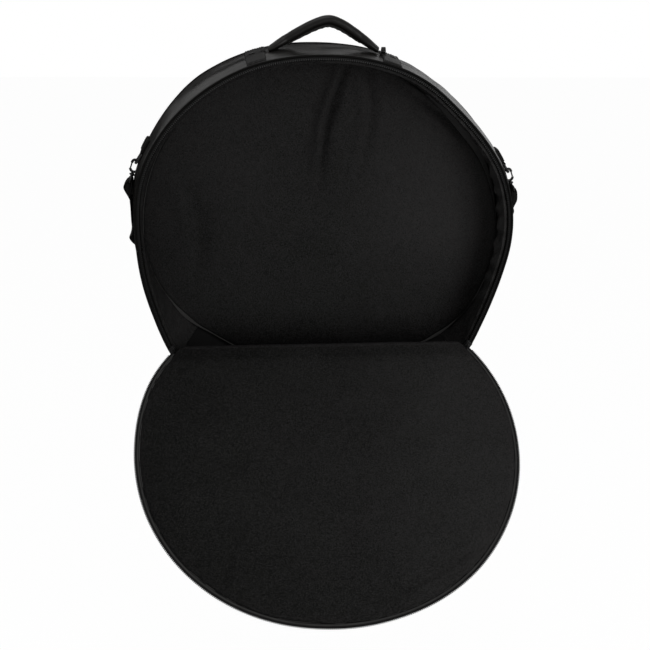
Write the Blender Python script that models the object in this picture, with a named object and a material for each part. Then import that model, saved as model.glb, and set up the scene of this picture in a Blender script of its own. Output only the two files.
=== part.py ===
"""A round padded cymbal bag, hung by its handle, with its zipped front lid let down.

Metres, +Z up. The body is upright: its mouth faces -Y and its back panel faces +Y.
The origin is the underside of the handle grip, which is where the bag hangs.
"""

from math import asin, atan2, ceil, cos, degrees, pi, radians, sin, sqrt

import bmesh
import bpy
from mathutils import Vector

# Zip round the mouth, which fits a 22 inch cymbal
ZIP_RADIUS = 0.2825
ROW_GAP = 0.0020
ROW_WIDTH = 0.0026
ROW_THICKNESS = 0.0022
TAPE_THICKNESS = 0.0010
BODY_TAPE_WIDTH = 0.0010
LID_TAPE_WIDTH = 0.0045
PIPING_RADIUS = 0.0017

# Angles round the mouth, in degrees from +X towards +Z
FACET_ANGLE = 6.0
HINGE_ANGLE = 35.3
SEAM_ANGLE = 42.0
REST_OPEN_ANGLE = 123.0

# Padded walls
LEATHER = 0.0013
FOAM = 0.0070
LINING = 0.0025
LID_FOAM = 0.0057
BODY_DEPTH = 0.0860
GUSSET_BULGE = 0.0015
GUSSET_FLARE = 0.0055
DISC_INSET = 0.0095
DISC_ROUND = 0.0020
BINDING_THICKNESS = 0.0012
EDGE_ROUND = 0.0050
LID_LINING_BACK = 0.0038
STATION_SHARES = (0.0, 0.2, 0.5, 0.8, 1.0)
ROUND_SIDES = 12
STEM_SIDES = 8
WIRE_SIDES = 6
ANGLE_ROUNDING_SHARE = 0.001

# Clearances
SEAT_GAP = 0.0003
FACET_GAP = 0.0006
RUN_GAP = 0.0008
SWING_GAP = 0.0012

# Fold that the lid hinges on
WELT_RADIUS = 0.0030
WELT_GAP = 0.0004
FOLD_DEPTH = 0.0007
PINCH_LENGTH = 0.0100
PINCH_THICKNESS = 0.0006
LID_ZIP_START = 0.0100

# Zip sliders
SLIDER_LENGTH = 0.0160
SLIDER_PLATE = 0.0016
SLIDER_OVERLAP = 0.0016
SLIDER_WEB = 0.0008
SLIDER_WEB_OFFSET = 0.0002
CROWN_LENGTH = 0.0080
CROWN_OPENING = 0.0024
CROWN_WALL = 0.0012
CROWN_WIDTH = 0.0034
PULL_LENGTH = 0.0300
PULL_WIDTH = 0.0080
PULL_PIN_RADIUS = 0.0007
PULL_WINDOW = 0.0070
PULL_BEVEL_SHARE = 0.5
END_TAB_THICKNESS = 0.0052
END_TAB_ANGLE = 3.0
ROW_END_ANGLE = 2.0

# Handle
HANDLE_HALF_SPAN = 0.0870
HANDLE_RISE = 0.0420
GRIP_RADIUS = 0.0066
PIN_RADIUS = 0.0025
PIN_OVERRUN = 0.0020
EYE_RADIUS = 0.0045
EYE_BORE_RADIUS = 0.0030
EYE_LENGTH = 0.0060
EYE_SINK = 0.0005
CHAPE_LENGTH = 0.0275
CHAPE_WIDTH = 0.0760
CHAPE_THICKNESS = 0.0016
RIVET_RADIUS = 0.0045
RIVET_HEIGHT = 0.0020
RIVET_DOME_SHARES = ((1.0, 0.0), (0.9, 0.5), (0.5, 0.9))
FIN_HEIGHT = 0.0036
FIN_THICKNESS = 0.0016
GRIP_SIDES = 10
GRIP_X_SHARES = (0.93, 0.885, 0.83, 0.74, 0.62, 0.41, 0.20)
GRIP_Z_SHARES = (0.00, 0.03, 0.10, 0.22, 0.38, 0.66, 0.89)
GRIP_RADIUS_SHARES = (0.44, 0.50, 0.62, 0.84, 1.0, 1.0, 1.0)

# Side rings, hooks and shoulder strap
LEFT_TAB_ANGLE = 27.4
RIGHT_TAB_ANGLE = 23.8
TAB_SPAN_ANGLE = 4.8
TAB_WIDTH = 0.0260
TAB_THICKNESS = 0.0023
SLEEVE_RADIUS = 0.0037
SLEEVE_BORE_RADIUS = 0.0022
SLEEVE_WIDTH = 0.0240
RING_WIRE_RADIUS = 0.0018
RING_HALF_WIDTH = 0.0150
RING_DROP = 0.0170
RING_BAR_SHARES = ((0.0, 1.0), (0.0, 0.5), (0.0, 0.0), (0.0, -0.5), (0.0, -1.0))
RING_BOW_SHARES = ((0.15, -1.08), (0.45, -1.05), (0.75, -0.8), (0.94, -0.42), (1.0, 0.0))
RING_LEAN_ANGLE = 37.0
HOOK_LEAN_ANGLE = 19.5
HOOK_WIRE_RADIUS = 0.0016
HOOK_HALF_WIDTH = 0.0052
HOOK_LENGTH = 0.0185
HOOK_BEND_SHARES = ((0.55, 0.93), (0.15, 0.55))
HOOK_BOW_SHARES = ((0.2, 0.7), (0.72, 1.0))
GATE_TOP = 0.0026
GATE_LENGTH = 0.0070
GATE_WIRE_RADIUS = 0.0011
GATE_HEEL_SHARE = 0.55
POST_RADIUS = 0.0024
POST_LENGTH = 0.0048
COLLAR_RADIUS = 0.0042
COLLAR_LENGTH = 0.0020
EYE_WIRE_RADIUS = 0.0017
EYE_HALF_WIDTH = 0.0146
EYE_DROP = 0.0066
WEBBING_WIDTH = 0.0250
WEBBING_THICKNESS = 0.0018
LEAF_LENGTH = 0.0250
LEAF_BULGE = 0.0060
LEAF_OUTSIDE_SHARES = ((0.28, 0.92), (0.60, 1.0), (0.875, 0.72))
LEAF_INSIDE_SHARES = ((0.875, 0.64), (0.55, 0.74), (0.25, 0.50))
LEAF_TURN_SHARE = 0.7
LEAF_TIP_SHARE = 0.45
STRAP_BACK_GAP = 0.0150
STRAP_RUN = 0.1414
STRAP_TURN_SHARES = (
    (1.025, 0.05, 0.170, 1.0, 0.0),
    (1.026, 0.22, 0.118, 1.0, 0.0),
    (1.026, 0.48, 0.064, 1.0, 0.0),
    (1.022, 0.79, 0.014, 0.8, 0.6),
    (0.985, 0.98, -0.040, 0.4, 0.9),
    (0.905, 1.00, -0.105, 0.0, 1.0),
)
STRAP_RUN_SHARES = (0.33, 0.67, 1.0)
STRAP_FOOT_SHARES = ((0.72, 0.42), (0.38, 0.80), (0.0, 1.0))
STRAP_SAG_SHARE = 0.42
PAD_WIDTH = 0.0500
PAD_THICKNESS = 0.0090
KEEPER_WIRE_RADIUS = 0.0012
KEEPER_PLAY = 0.0006

# Outer pocket on the lid
POCKET_LOW = 0.0620
POCKET_HIGH = 0.3300
POCKET_PADDING = 0.0080
POCKET_EDGE_ROUND = 0.0070
POCKET_INSET = 0.0080
POCKET_SIDE_STEPS = 12
POCKET_ZIP_DROP = 0.0240
POCKET_ZIP_LENGTH = 0.2600
POCKET_ZIP_WIDTH = 0.0300
POCKET_ROW_THICKNESS = 0.0016
POCKET_ROW_WIDTH = 0.0050
POCKET_TAPE = 0.0008
POCKET_SLIDER_LENGTH = 0.0120
POCKET_SLIDER_WIDTH = 0.0080
POCKET_SLIDER_HEIGHT = 0.0022
POCKET_SLIDER_PLAY = 0.0004
PULL_HANG_ANGLE = 90.0

SIDES = {"left": -1, "right": 1}
BACKWARD = Vector((0.0, 1.0, 0.0))
SIDEWAYS = Vector((1.0, 0.0, 0.0))

# Places worked out from the sizes above
DISC_RADIUS = ZIP_RADIUS - DISC_INSET
BODY_ROW_INNER = ZIP_RADIUS + ROW_GAP / 2
BODY_ROW_OUTER = BODY_ROW_INNER + ROW_WIDTH
BODY_TAPE_INNER = BODY_ROW_OUTER + SEAT_GAP
BODY_TAPE_OUTER = BODY_TAPE_INNER + BODY_TAPE_WIDTH
RIM_PIPING_AT = BODY_TAPE_OUTER + FACET_GAP + PIPING_RADIUS
GUSSET_FRONT_RADIUS = RIM_PIPING_AT + LEATHER / 2
LID_ROW_OUTER = ZIP_RADIUS - ROW_GAP / 2
LID_ROW_INNER = LID_ROW_OUTER - ROW_WIDTH
LID_TAPE_OUTER = LID_ROW_INNER - SEAT_GAP
LID_TAPE_INNER = LID_TAPE_OUTER - LID_TAPE_WIDTH
LID_PANEL_RADIUS = LID_TAPE_INNER - FACET_GAP
SLIDER_INNER = LID_ROW_INNER - SLIDER_OVERLAP / 2
SLIDER_OUTER = BODY_ROW_OUTER + SLIDER_OVERLAP / 2
SLIDER_FACE = ROW_THICKNESS / 2 + RUN_GAP
SLIDER_TOP = SLIDER_FACE + SLIDER_PLATE
APRON_RADIUS = SLIDER_INNER - FACET_GAP
HINGE_DROP = ZIP_RADIUS * sin(radians(HINGE_ANGLE))
WALL_FRONT = PIPING_RADIUS + SEAT_GAP
PAD_FRONT = SLIDER_TOP + SWING_GAP
WALL_THICKNESS = LEATHER + FOAM + LINING + SEAT_GAP * 2
REAR_RADIUS = GUSSET_FRONT_RADIUS + GUSSET_FLARE
REAR_PIPING_AT = REAR_RADIUS - LEATHER / 2
LID_FOAM_BACK = LID_LINING_BACK - LINING - SEAT_GAP
LID_FOAM_FRONT = LID_FOAM_BACK - LID_FOAM
LID_LEATHER_BACK = LID_FOAM_FRONT - SEAT_GAP
LID_FRONT = LID_LEATHER_BACK - LEATHER
HINGE_Y = LID_FRONT - FOLD_DEPTH
FOLD_EDGE = WELT_RADIUS + WELT_GAP
GUSSET_TOP = GUSSET_FRONT_RADIUS + GUSSET_FLARE / 2 + GUSSET_BULGE
MID_DEPTH = BODY_DEPTH / 2
CHAPE_TOP = GUSSET_TOP + SEAT_GAP + CHAPE_THICKNESS
HANDLE_AXIS_Z = sqrt(CHAPE_TOP**2 - HANDLE_HALF_SPAN**2) + EYE_RADIUS - EYE_SINK
CENTRE_Z = GRIP_RADIUS + SEAT_GAP + FIN_HEIGHT - HANDLE_AXIS_Z - HANDLE_RISE
BACK_FACE_Y = BODY_DEPTH + SEAT_GAP + LEATHER
STRAP_Y = BACK_FACE_Y + STRAP_BACK_GAP


def clear_scene():
    for old in list(bpy.data.objects):
        bpy.data.objects.remove(old)


def material(name, colour, roughness, metallic=0.0):
    made = bpy.data.materials.new(name)
    made.use_nodes = True
    shader = made.node_tree.nodes["Principled BSDF"]
    shader.inputs["Base Color"].default_value = (*colour, 1.0)
    shader.inputs["Roughness"].default_value = roughness
    shader.inputs["Metallic"].default_value = metallic
    made.diffuse_color = (*colour, 1.0)
    return made


def build_materials():
    return {
        "leather": material("black_faux_leather", (0.012, 0.011, 0.011), 0.42),
        "fleece": material("black_fleece", (0.010, 0.010, 0.010), 0.95),
        "plain_lining": material("smooth_lining", (0.007, 0.007, 0.007), 0.85),
        "foam": material("grey_foam", (0.080, 0.080, 0.085), 0.90),
        "binding": material("seam_binding", (0.045, 0.044, 0.043), 0.60),
        "zip_tape": material("zip_tape", (0.020, 0.020, 0.020), 0.65),
        "zip_teeth": material("zip_teeth", (0.090, 0.090, 0.092), 0.40),
        "hardware": material("black_nickel", (0.050, 0.050, 0.055), 0.28, 1.0),
        "webbing": material("black_webbing", (0.008, 0.008, 0.008), 0.70),
    }


def add_piece(name, points, faces, surface, parent, smooth_angle=35.0):
    """A closed mesh object with its faces turned outwards."""
    mesh = bpy.data.meshes.new(name)
    shape = bmesh.new()
    corners = [shape.verts.new(point) for point in points]
    for face in faces:
        shape.faces.new([corners[index] for index in face])
    bmesh.ops.recalc_face_normals(shape, faces=shape.faces)
    shape.to_mesh(mesh)
    shape.free()
    mesh.materials.append(surface)
    mesh.shade_smooth()
    mesh.set_sharp_from_angle(angle=radians(smooth_angle))
    piece = bpy.data.objects.new(name, mesh)
    piece.parent = parent
    bpy.context.scene.collection.objects.link(piece)
    return piece


def add_empty(name, place, parent=None, turn=(0.0, 0.0, 0.0)):
    empty = bpy.data.objects.new(name, None)
    empty.location = place
    empty.rotation_euler = turn
    empty.parent = parent
    bpy.context.scene.collection.objects.link(empty)
    return empty


def loops_to_faces(loops, size, closed_path):
    """Quads between successive loops, with a cap at each end of an open path."""
    faces = []
    for row in range(loops if closed_path else loops - 1):
        ahead = (row + 1) % loops
        for k in range(size):
            n = (k + 1) % size
            faces.append((row * size + k, row * size + n, ahead * size + n, ahead * size + k))
    if not closed_path:
        faces.append(tuple(range(size)))
        faces.append(tuple((loops - 1) * size + k for k in range(size)))
    return faces


def skin(name, loops, surface, parent, closed_path=False):
    """A solid through loops of points, which all have the same number of points."""
    points = [point for loop in loops for point in loop]
    faces = loops_to_faces(len(loops), len(loops[0]), closed_path)
    return add_piece(name, points, faces, surface, parent)


def sector_angles(first, last):
    """The first and last angle, with the multiples of FACET_ANGLE between them."""
    start = ceil(first / FACET_ANGLE + ANGLE_ROUNDING_SHARE)
    stop = ceil(last / FACET_ANGLE - ANGLE_ROUNDING_SHARE)
    return [first, *(k * FACET_ANGLE for k in range(start, stop)), last]


def polar(radius, depth, angle):
    return Vector((radius * cos(radians(angle)), depth, radius * sin(radians(angle))))


def sweep_round(name, profile, angles, surface, parent, full=False):
    """A profile of (radius, depth) pairs swept round the bag's centre line."""
    if full:
        angles = [k * FACET_ANGLE for k in range(round(360 / FACET_ANGLE))]
    loops = [[polar(radius, depth, angle) for radius, depth in profile] for angle in angles]
    return skin(name, loops, surface, parent, closed_path=full)


def outer_radius(depth):
    share = depth / BODY_DEPTH
    return GUSSET_FRONT_RADIUS + GUSSET_FLARE * share + GUSSET_BULGE * sin(pi * share)


def wall_profile(inset, thickness, front, back=BODY_DEPTH):
    """The section of one layer of the gusset, whose outer face lies inset inside the skin."""
    depths = [front + (back - front) * share for share in STATION_SHARES]
    outer = [(outer_radius(depth) - inset, depth) for depth in depths]
    inner = [(radius - thickness, depth) for radius, depth in reversed(outer)]
    return outer + inner


def round_profile(radius, centre_radius, depth):
    turns = [2 * pi * k / WIRE_SIDES for k in range(WIRE_SIDES)]
    return [(centre_radius + radius * cos(turn), depth + radius * sin(turn)) for turn in turns]


def flat_profile(inner, outer, front, back):
    return [(inner, front), (outer, front), (outer, back), (inner, back)]


def angle_of(length, radius=ZIP_RADIUS):
    return degrees(length / radius)


def build_body_walls(looks, bag):
    """The upper gusset, which the fleece lines, and the plain base gusset below the hinge."""
    gap = angle_of(SEAT_GAP)
    upper = sector_angles(gap - SEAM_ANGLE, 180 + SEAM_ANGLE - gap)
    lower = sector_angles(180 + SEAM_ANGLE, 360 - SEAM_ANGLE)
    for prefix, angles, inside in (("gusset", upper, "fleece"), ("base", lower, "plain_lining")):
        layers = (
            ("outer", 0.0, LEATHER, WALL_FRONT, "leather"),
            ("foam", LEATHER + SEAT_GAP, FOAM, PAD_FRONT, "foam"),
            ("lining", LEATHER + FOAM + SEAT_GAP * 2, LINING, PAD_FRONT, inside),
        )
        for layer, inset, thickness, front, look in layers:
            profile = wall_profile(inset, thickness, front)
            sweep_round(f"{prefix}_{layer}", profile, angles, looks[look], bag)


def build_body_trim(looks, bag):
    full = (None, looks["leather"], bag, True)
    sweep_round("rim_piping", round_profile(PIPING_RADIUS, RIM_PIPING_AT, 0.0), *full)
    rear_depth = BODY_DEPTH + SEAT_GAP + PIPING_RADIUS
    sweep_round("rear_piping", round_profile(PIPING_RADIUS, REAR_PIPING_AT, rear_depth), *full)
    end = HINGE_ANGLE + ROW_END_ANGLE
    angles = sector_angles(-end, 180 + end)
    half_tape = TAPE_THICKNESS / 2
    tape = flat_profile(BODY_TAPE_INNER, BODY_TAPE_OUTER, -half_tape, half_tape)
    sweep_round("body_zip_tape", tape, angles, looks["zip_tape"], bag)
    half_row = ROW_THICKNESS / 2
    row = flat_profile(BODY_ROW_INNER, BODY_ROW_OUTER, -half_row, half_row)
    sweep_round("body_zip_teeth", row, angles, looks["zip_teeth"], bag)
    low = sector_angles(180 + SEAM_ANGLE, 360 - SEAM_ANGLE)
    strip = flat_profile(APRON_RADIUS + FACET_GAP, BODY_TAPE_OUTER, -half_tape, half_tape)
    sweep_round("apron_seam_strip", strip, low, looks["zip_tape"], bag)


def disc_loops(rings):
    """Loops for a round panel, from (radius, depth) rings."""
    turns = [k * FACET_ANGLE for k in range(round(360 / FACET_ANGLE))]
    return [[polar(radius, depth, turn) for turn in turns] for radius, depth in rings]


def build_back(looks, bag):
    outer_radius_here = REAR_PIPING_AT - PIPING_RADIUS - SEAT_GAP
    front = BODY_DEPTH + SEAT_GAP
    rings = [(outer_radius_here, front), (outer_radius_here, BACK_FACE_Y)]
    skin("back_outer_panel", disc_loops(rings), looks["leather"], bag)
    foam_radius = REAR_RADIUS - WALL_THICKNESS - SEAT_GAP
    foam_front = BODY_DEPTH - FOAM
    rings = [(foam_radius, foam_front), (foam_radius, BODY_DEPTH)]
    skin("back_foam", disc_loops(rings), looks["foam"], bag)
    disc_back = foam_front - SEAT_GAP
    disc_front = disc_back - LINING
    rings = [
        (DISC_RADIUS - DISC_ROUND, disc_front),
        (DISC_RADIUS, disc_back - LINING / 2),
        (DISC_RADIUS, disc_back),
    ]
    skin("back_lining", disc_loops(rings), looks["fleece"], bag)
    binding_front = disc_back - BINDING_THICKNESS
    binding = flat_profile(DISC_RADIUS + SEAT_GAP, foam_radius, binding_front, disc_back)
    sweep_round("rear_seam_binding", binding, None, looks["binding"], bag, True)


def segment_outline(reach, chord, arc_depth, chord_depth, steps, upward):
    """Points of a circle cut by a level chord. The chord's ends take chord_depth."""
    end = degrees(asin(chord / reach))
    span = 180 - 2 * end
    points = []
    for k in range(steps + 1):
        depth = chord_depth if k in (0, steps) else arc_depth
        points.append(polar(reach, depth, end + span * k / steps))
    if not upward:
        points = [Vector((point.x, point.y, -point.z)) for point in points]
    return points


def panel_loops(radius, chord, rings, upward):
    """Loops of a segment panel, from (arc inset, arc depth, chord inset, chord depth) rings."""
    steps = round((180 - 2 * degrees(asin(chord / radius))) / FACET_ANGLE)
    return [
        segment_outline(radius - arc_in, chord + chord_in, arc_depth, chord_depth, steps, upward)
        for arc_in, arc_depth, chord_in, chord_depth in rings
    ]


def build_front_panel(prefix, radius, chord, upward, looks, parent):
    """Leather, foam and lining of one padded part of the front, thin where it folds."""
    edge = LID_FRONT + EDGE_ROUND / 2
    leather = [
        (EDGE_ROUND, LID_LEATHER_BACK, FOLD_DEPTH, LID_LEATHER_BACK),
        (0.0, edge + LEATHER, 0.0, LID_LEATHER_BACK),
        (0.0, edge, 0.0, LID_FRONT + SEAT_GAP),
        (EDGE_ROUND, LID_FRONT, FOLD_DEPTH, LID_FRONT),
    ]
    foam_edge = edge + LEATHER + SEAT_GAP
    pinch = LID_FOAM_FRONT + PINCH_THICKNESS
    foam = [
        (EDGE_ROUND, LID_FOAM_FRONT, FOLD_DEPTH, LID_FOAM_FRONT),
        (0.0, foam_edge, 0.0, LID_FOAM_FRONT),
        (0.0, LID_FOAM_BACK, 0.0, pinch),
        (DISC_ROUND, LID_FOAM_BACK, PINCH_LENGTH, LID_FOAM_BACK),
    ]
    lining_front = LID_FOAM_BACK + SEAT_GAP
    pinch += SEAT_GAP
    lining = [
        (DISC_ROUND, lining_front, PINCH_LENGTH, lining_front),
        (0.0, lining_front, 0.0, pinch),
        (0.0, LID_LINING_BACK - LINING / 2, 0.0, pinch + LINING),
        (DISC_ROUND, LID_LINING_BACK, PINCH_LENGTH, LID_LINING_BACK),
    ]
    layers = (("outer", leather, "leather"), ("foam", foam, "foam"), ("lining", lining, "fleece"))
    for layer, rings, look in layers:
        skin(f"{prefix}_{layer}", panel_loops(radius, chord, rings, upward), looks[look], parent)


def build_apron(looks, bag):
    build_front_panel("apron", APRON_RADIUS, HINGE_DROP + FOLD_EDGE, False, looks, bag)
    half_length = sqrt(APRON_RADIUS**2 - HINGE_DROP**2) - EDGE_ROUND
    centre = Vector((0.0, HINGE_Y, -HINGE_DROP))
    half = Vector((half_length, 0.0, 0.0))
    radii = [WELT_RADIUS] * 2
    tube("hinge_welt", [centre - half, centre + half], radii, BACKWARD, ROUND_SIDES, looks["leather"], bag)


def tube_loops(points, radii, reference, sides, closed_path=False):
    loops = []
    count = len(points)
    for k, point in enumerate(points):
        before = points[(k - 1) % count] if closed_path or k else point
        after = points[(k + 1) % count] if closed_path or k < count - 1 else point
        along = (after - before).normalized()
        across = along.cross(reference).normalized()
        other = across.cross(along)
        turns = [2 * pi * (n + 0.5) / sides for n in range(sides)]
        loops.append([point + radii[k] * (cos(t) * across + sin(t) * other) for t in turns])
    return loops


def tube(name, points, radii, reference, sides, surface, parent, closed_path=False):
    """A round tube along points. The reference direction is square to the path's plane."""
    loops = tube_loops(points, radii, reference, sides, closed_path)
    return skin(name, loops, surface, parent, closed_path)


def join_solids(piece, others):
    """Adds the other solids to the piece with a Boolean union each."""
    for other in others:
        other.hide_render = True
        other.display_type = "WIRE"
        cut = piece.modifiers.new(f"add_{other.name}", "BOOLEAN")
        cut.operation = "UNION"
        cut.object = other
    return piece


def build_lid(looks, hinge):
    """The lid in its closed place, in the hinge's own frame, which holds it open."""
    to_closed = Vector((0.0, -HINGE_Y, HINGE_DROP))
    frame = add_empty("lid_frame", to_closed, hinge)
    build_front_panel("lid", LID_PANEL_RADIUS, FOLD_EDGE - HINGE_DROP, True, looks, frame)
    end = degrees(asin((HINGE_DROP - LID_ZIP_START) / LID_ROW_OUTER))
    angles = sector_angles(-end, 180 + end)
    half_tape = TAPE_THICKNESS / 2
    tape = flat_profile(LID_TAPE_INNER, LID_TAPE_OUTER, -half_tape, half_tape)
    sweep_round("lid_zip_tape", tape, angles, looks["zip_tape"], frame)
    half_row = ROW_THICKNESS / 2
    row = flat_profile(LID_ROW_INNER, LID_ROW_OUTER, -half_row, half_row)
    sweep_round("lid_zip_teeth", row, angles, looks["zip_teeth"], frame)
    return frame


def pocket_outline(inset, depth):
    """The pocket's edge: the lid's curve, cut by a level line at its foot and its top."""
    reach = LID_PANEL_RADIUS - EDGE_ROUND - POCKET_INSET - inset
    low = degrees(asin((POCKET_LOW - HINGE_DROP + inset) / reach))
    high = degrees(asin((POCKET_HIGH - HINGE_DROP - inset) / reach))
    rise = high - low
    rising = [low + rise * k / POCKET_SIDE_STEPS for k in range(POCKET_SIDE_STEPS + 1)]
    right = [polar(reach, depth, angle) for angle in rising]
    left = [Vector((-point.x, point.y, point.z)) for point in reversed(right)]
    return right + left


def build_pocket(looks, lid):
    """A padded outer pocket with its zip across the top."""
    back = LID_FRONT - SEAT_GAP
    front = back - POCKET_PADDING
    pad = [(LEATHER + SEAT_GAP, back), (LEATHER + SEAT_GAP, front + POCKET_EDGE_ROUND / 2)]
    pad.append((POCKET_EDGE_ROUND, front))
    skin("pocket_padding", [pocket_outline(*ring) for ring in pad], looks["foam"], lid)
    cover_front = front - SEAT_GAP - LEATHER
    shoulder = cover_front + POCKET_EDGE_ROUND / 2
    cover = [
        (POCKET_EDGE_ROUND, front - SEAT_GAP),
        (LEATHER, shoulder + LEATHER),
        (LEATHER, back),
        (0.0, back),
        (0.0, shoulder),
        (POCKET_EDGE_ROUND, cover_front),
    ]
    skin("pocket_cover", [pocket_outline(*ring) for ring in cover], looks["leather"], lid)
    top = POCKET_HIGH - HINGE_DROP - POCKET_EDGE_ROUND - POCKET_ZIP_DROP
    build_pocket_zip(looks, lid, cover_front - SEAT_GAP, top)


def flat_block(centre, sizes):
    """Loops of a block, given its centre and its sizes along X, Y and Z."""
    half = [size / 2 for size in sizes]
    corners = [(-1, -1), (1, -1), (1, 1), (-1, 1)]
    return [
        [centre + Vector((x * half[0], y * half[1], z * half[2])) for x, z in corners]
        for y in (-1, 1)
    ]


def build_pocket_zip(looks, lid, face, height):
    tape_at = Vector((0.0, face - POCKET_TAPE / 2, height))
    tape = flat_block(tape_at, (POCKET_ZIP_LENGTH, POCKET_TAPE, POCKET_ZIP_WIDTH))
    skin("pocket_zip_tape", tape, looks["zip_tape"], lid)
    row_front = face - POCKET_TAPE - SEAT_GAP
    row_at = Vector((0.0, row_front - POCKET_ROW_THICKNESS / 2, height))
    row = flat_block(row_at, (POCKET_ZIP_LENGTH, POCKET_ROW_THICKNESS, POCKET_ROW_WIDTH))
    skin("pocket_zip_teeth", row, looks["zip_teeth"], lid)
    slider_front = row_front - POCKET_ROW_THICKNESS - POCKET_SLIDER_PLAY
    start = POCKET_ZIP_LENGTH / 2 - POCKET_SLIDER_LENGTH
    place = Vector((start, slider_front, height))
    runner = add_empty("pocket_slider_place", place, lid)
    body_at = Vector((0.0, -POCKET_SLIDER_HEIGHT / 2, 0.0))
    body_sizes = (POCKET_SLIDER_LENGTH, POCKET_SLIDER_HEIGHT, POCKET_SLIDER_WIDTH)
    body = skin("pocket_slider", flat_block(body_at, body_sizes), looks["hardware"], runner)
    crown_top = -POCKET_SLIDER_HEIGHT
    crown = crown_solid("pocket_slider_crown", crown_top, 0, looks, runner)
    join_solids(body, [crown])
    hang = (0.0, 0.0, -radians(PULL_HANG_ANGLE))
    pin_at = Vector((0.0, crown_top - CROWN_OPENING / 2, 0.0))
    pin = add_empty("pocket_pull_axis", pin_at, runner, hang)
    pull("pocket_pull", 0, 1, looks, pin)


def crown_solid(name, face, along, looks, parent):
    """The arch on a slider that holds its pull. It runs along axis number along."""
    sink = SEAT_GAP
    half = CROWN_LENGTH / 2
    inner = half - CROWN_WALL
    roof = face - CROWN_OPENING
    outline = [
        (-half, face + sink),
        (-half, roof - CROWN_WALL),
        (half, roof - CROWN_WALL),
        (half, face + sink),
        (inner, face + sink),
        (inner, roof),
        (-inner, roof),
        (-inner, face + sink),
    ]
    loops = []
    for side in (-1, 1):
        across = side * CROWN_WIDTH / 2
        loop = []
        for distance, depth in outline:
            place = (across, depth, distance) if along == 2 else (distance, depth, across)
            loop.append(Vector(place))
        loops.append(loop)
    return skin(name, loops, looks["hardware"], parent)


def pull(name, along, way, looks, parent):
    """A flat pull with a window at its pin. The parent lies on the pin's axis."""
    half = PULL_WIDTH / 2
    pin = PULL_PIN_RADIUS
    window = CROWN_WIDTH / 2 + PULL_PIN_RADIUS
    bevel = half * PULL_BEVEL_SHARE
    outer = [(-pin, -half), (PULL_LENGTH - bevel, -half), (PULL_LENGTH, bevel - half)]
    outer += [(distance, -across) for distance, across in reversed(outer)]
    inner = [(pin, -window), (PULL_WINDOW, -window), (PULL_WINDOW, 0.0)]
    inner += [(PULL_WINDOW, window), (pin, window), (pin, 0.0)]
    points = []
    for side in (-1, 1):
        depth = side * pin
        for outline in (outer, inner):
            for distance, across in outline:
                far = distance * way
                place = (far, depth, across) if along == 0 else (across, depth, far)
                points.append(Vector(place))
    count = len(outer)
    faces = []
    for k in range(count):
        n = (k + 1) % count
        for low in (0, count):
            high = low + 2 * count
            faces.append((low + k, low + n, high + n, high + k))
        for base in (0, 2 * count):
            faces.append((base + k, base + n, base + count + n, base + count + k))
    return add_piece(name, points, faces, looks["hardware"], parent)


def build_sliders(looks, bag):
    for side, sign in SIDES.items():
        angle = -HINGE_ANGLE if sign > 0 else 180 + HINGE_ANGLE
        turn = (0.0, -radians(angle), 0.0)
        runner = add_empty(f"slider_{side}_axis", (0.0, 0.0, 0.0), bag, turn)
        web_at = ZIP_RADIUS - SLIDER_WEB_OFFSET
        web_inner = web_at - SLIDER_WEB / 2
        web_outer = web_at + SLIDER_WEB / 2
        profile = [
            (SLIDER_INNER, -SLIDER_TOP),
            (SLIDER_OUTER, -SLIDER_TOP),
            (SLIDER_OUTER, -SLIDER_FACE),
            (web_outer, -SLIDER_FACE),
            (web_outer, SLIDER_FACE),
            (SLIDER_OUTER, SLIDER_FACE),
            (SLIDER_OUTER, SLIDER_TOP),
            (SLIDER_INNER, SLIDER_TOP),
            (SLIDER_INNER, SLIDER_FACE),
            (web_inner, SLIDER_FACE),
            (web_inner, -SLIDER_FACE),
            (SLIDER_INNER, -SLIDER_FACE),
        ]
        half = angle_of(SLIDER_LENGTH / 2)
        angles = [-half, 0.0, half]
        body = sweep_round(f"zip_slider_{side}", profile, angles, looks["hardware"], runner)
        seat = add_empty(f"slider_{side}_crown_place", (web_at, 0.0, 0.0), runner)
        crown = crown_solid(f"slider_{side}_crown", -SLIDER_TOP, 2, looks, seat)
        join_solids(body, [crown])
        place = Vector((0.0, -SLIDER_TOP - CROWN_OPENING / 2, 0.0))
        pin = add_empty(f"zip_pull_{side}_axis", place, seat)
        pull(f"zip_pull_{side}", 2, -sign, looks, pin)
        build_end_tab(side, sign, looks, bag)


def build_end_tab(side, sign, looks, bag):
    """The stitched tab that covers the zip's end at each hinge corner."""
    first = HINGE_ANGLE + ROW_END_ANGLE + angle_of(SEAT_GAP)
    last = first + END_TAB_ANGLE
    half = END_TAB_THICKNESS / 2
    profile = flat_profile(APRON_RADIUS + FACET_GAP, BODY_TAPE_OUTER, -half, half)
    angles = [-last, -first] if sign > 0 else [180 + first, 180 + last]
    sweep_round(f"zip_end_tab_{side}", profile, angles, looks["leather"], bag)


def chape_angles(sign):
    inner = HANDLE_HALF_SPAN - EYE_LENGTH / 2
    outer = inner + CHAPE_LENGTH
    near = degrees(atan2(sqrt(GUSSET_TOP**2 - inner**2), inner))
    far = degrees(atan2(sqrt(GUSSET_TOP**2 - outer**2), outer))
    return sector_angles(far, near) if sign > 0 else sector_angles(180 - near, 180 - far)


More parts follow.
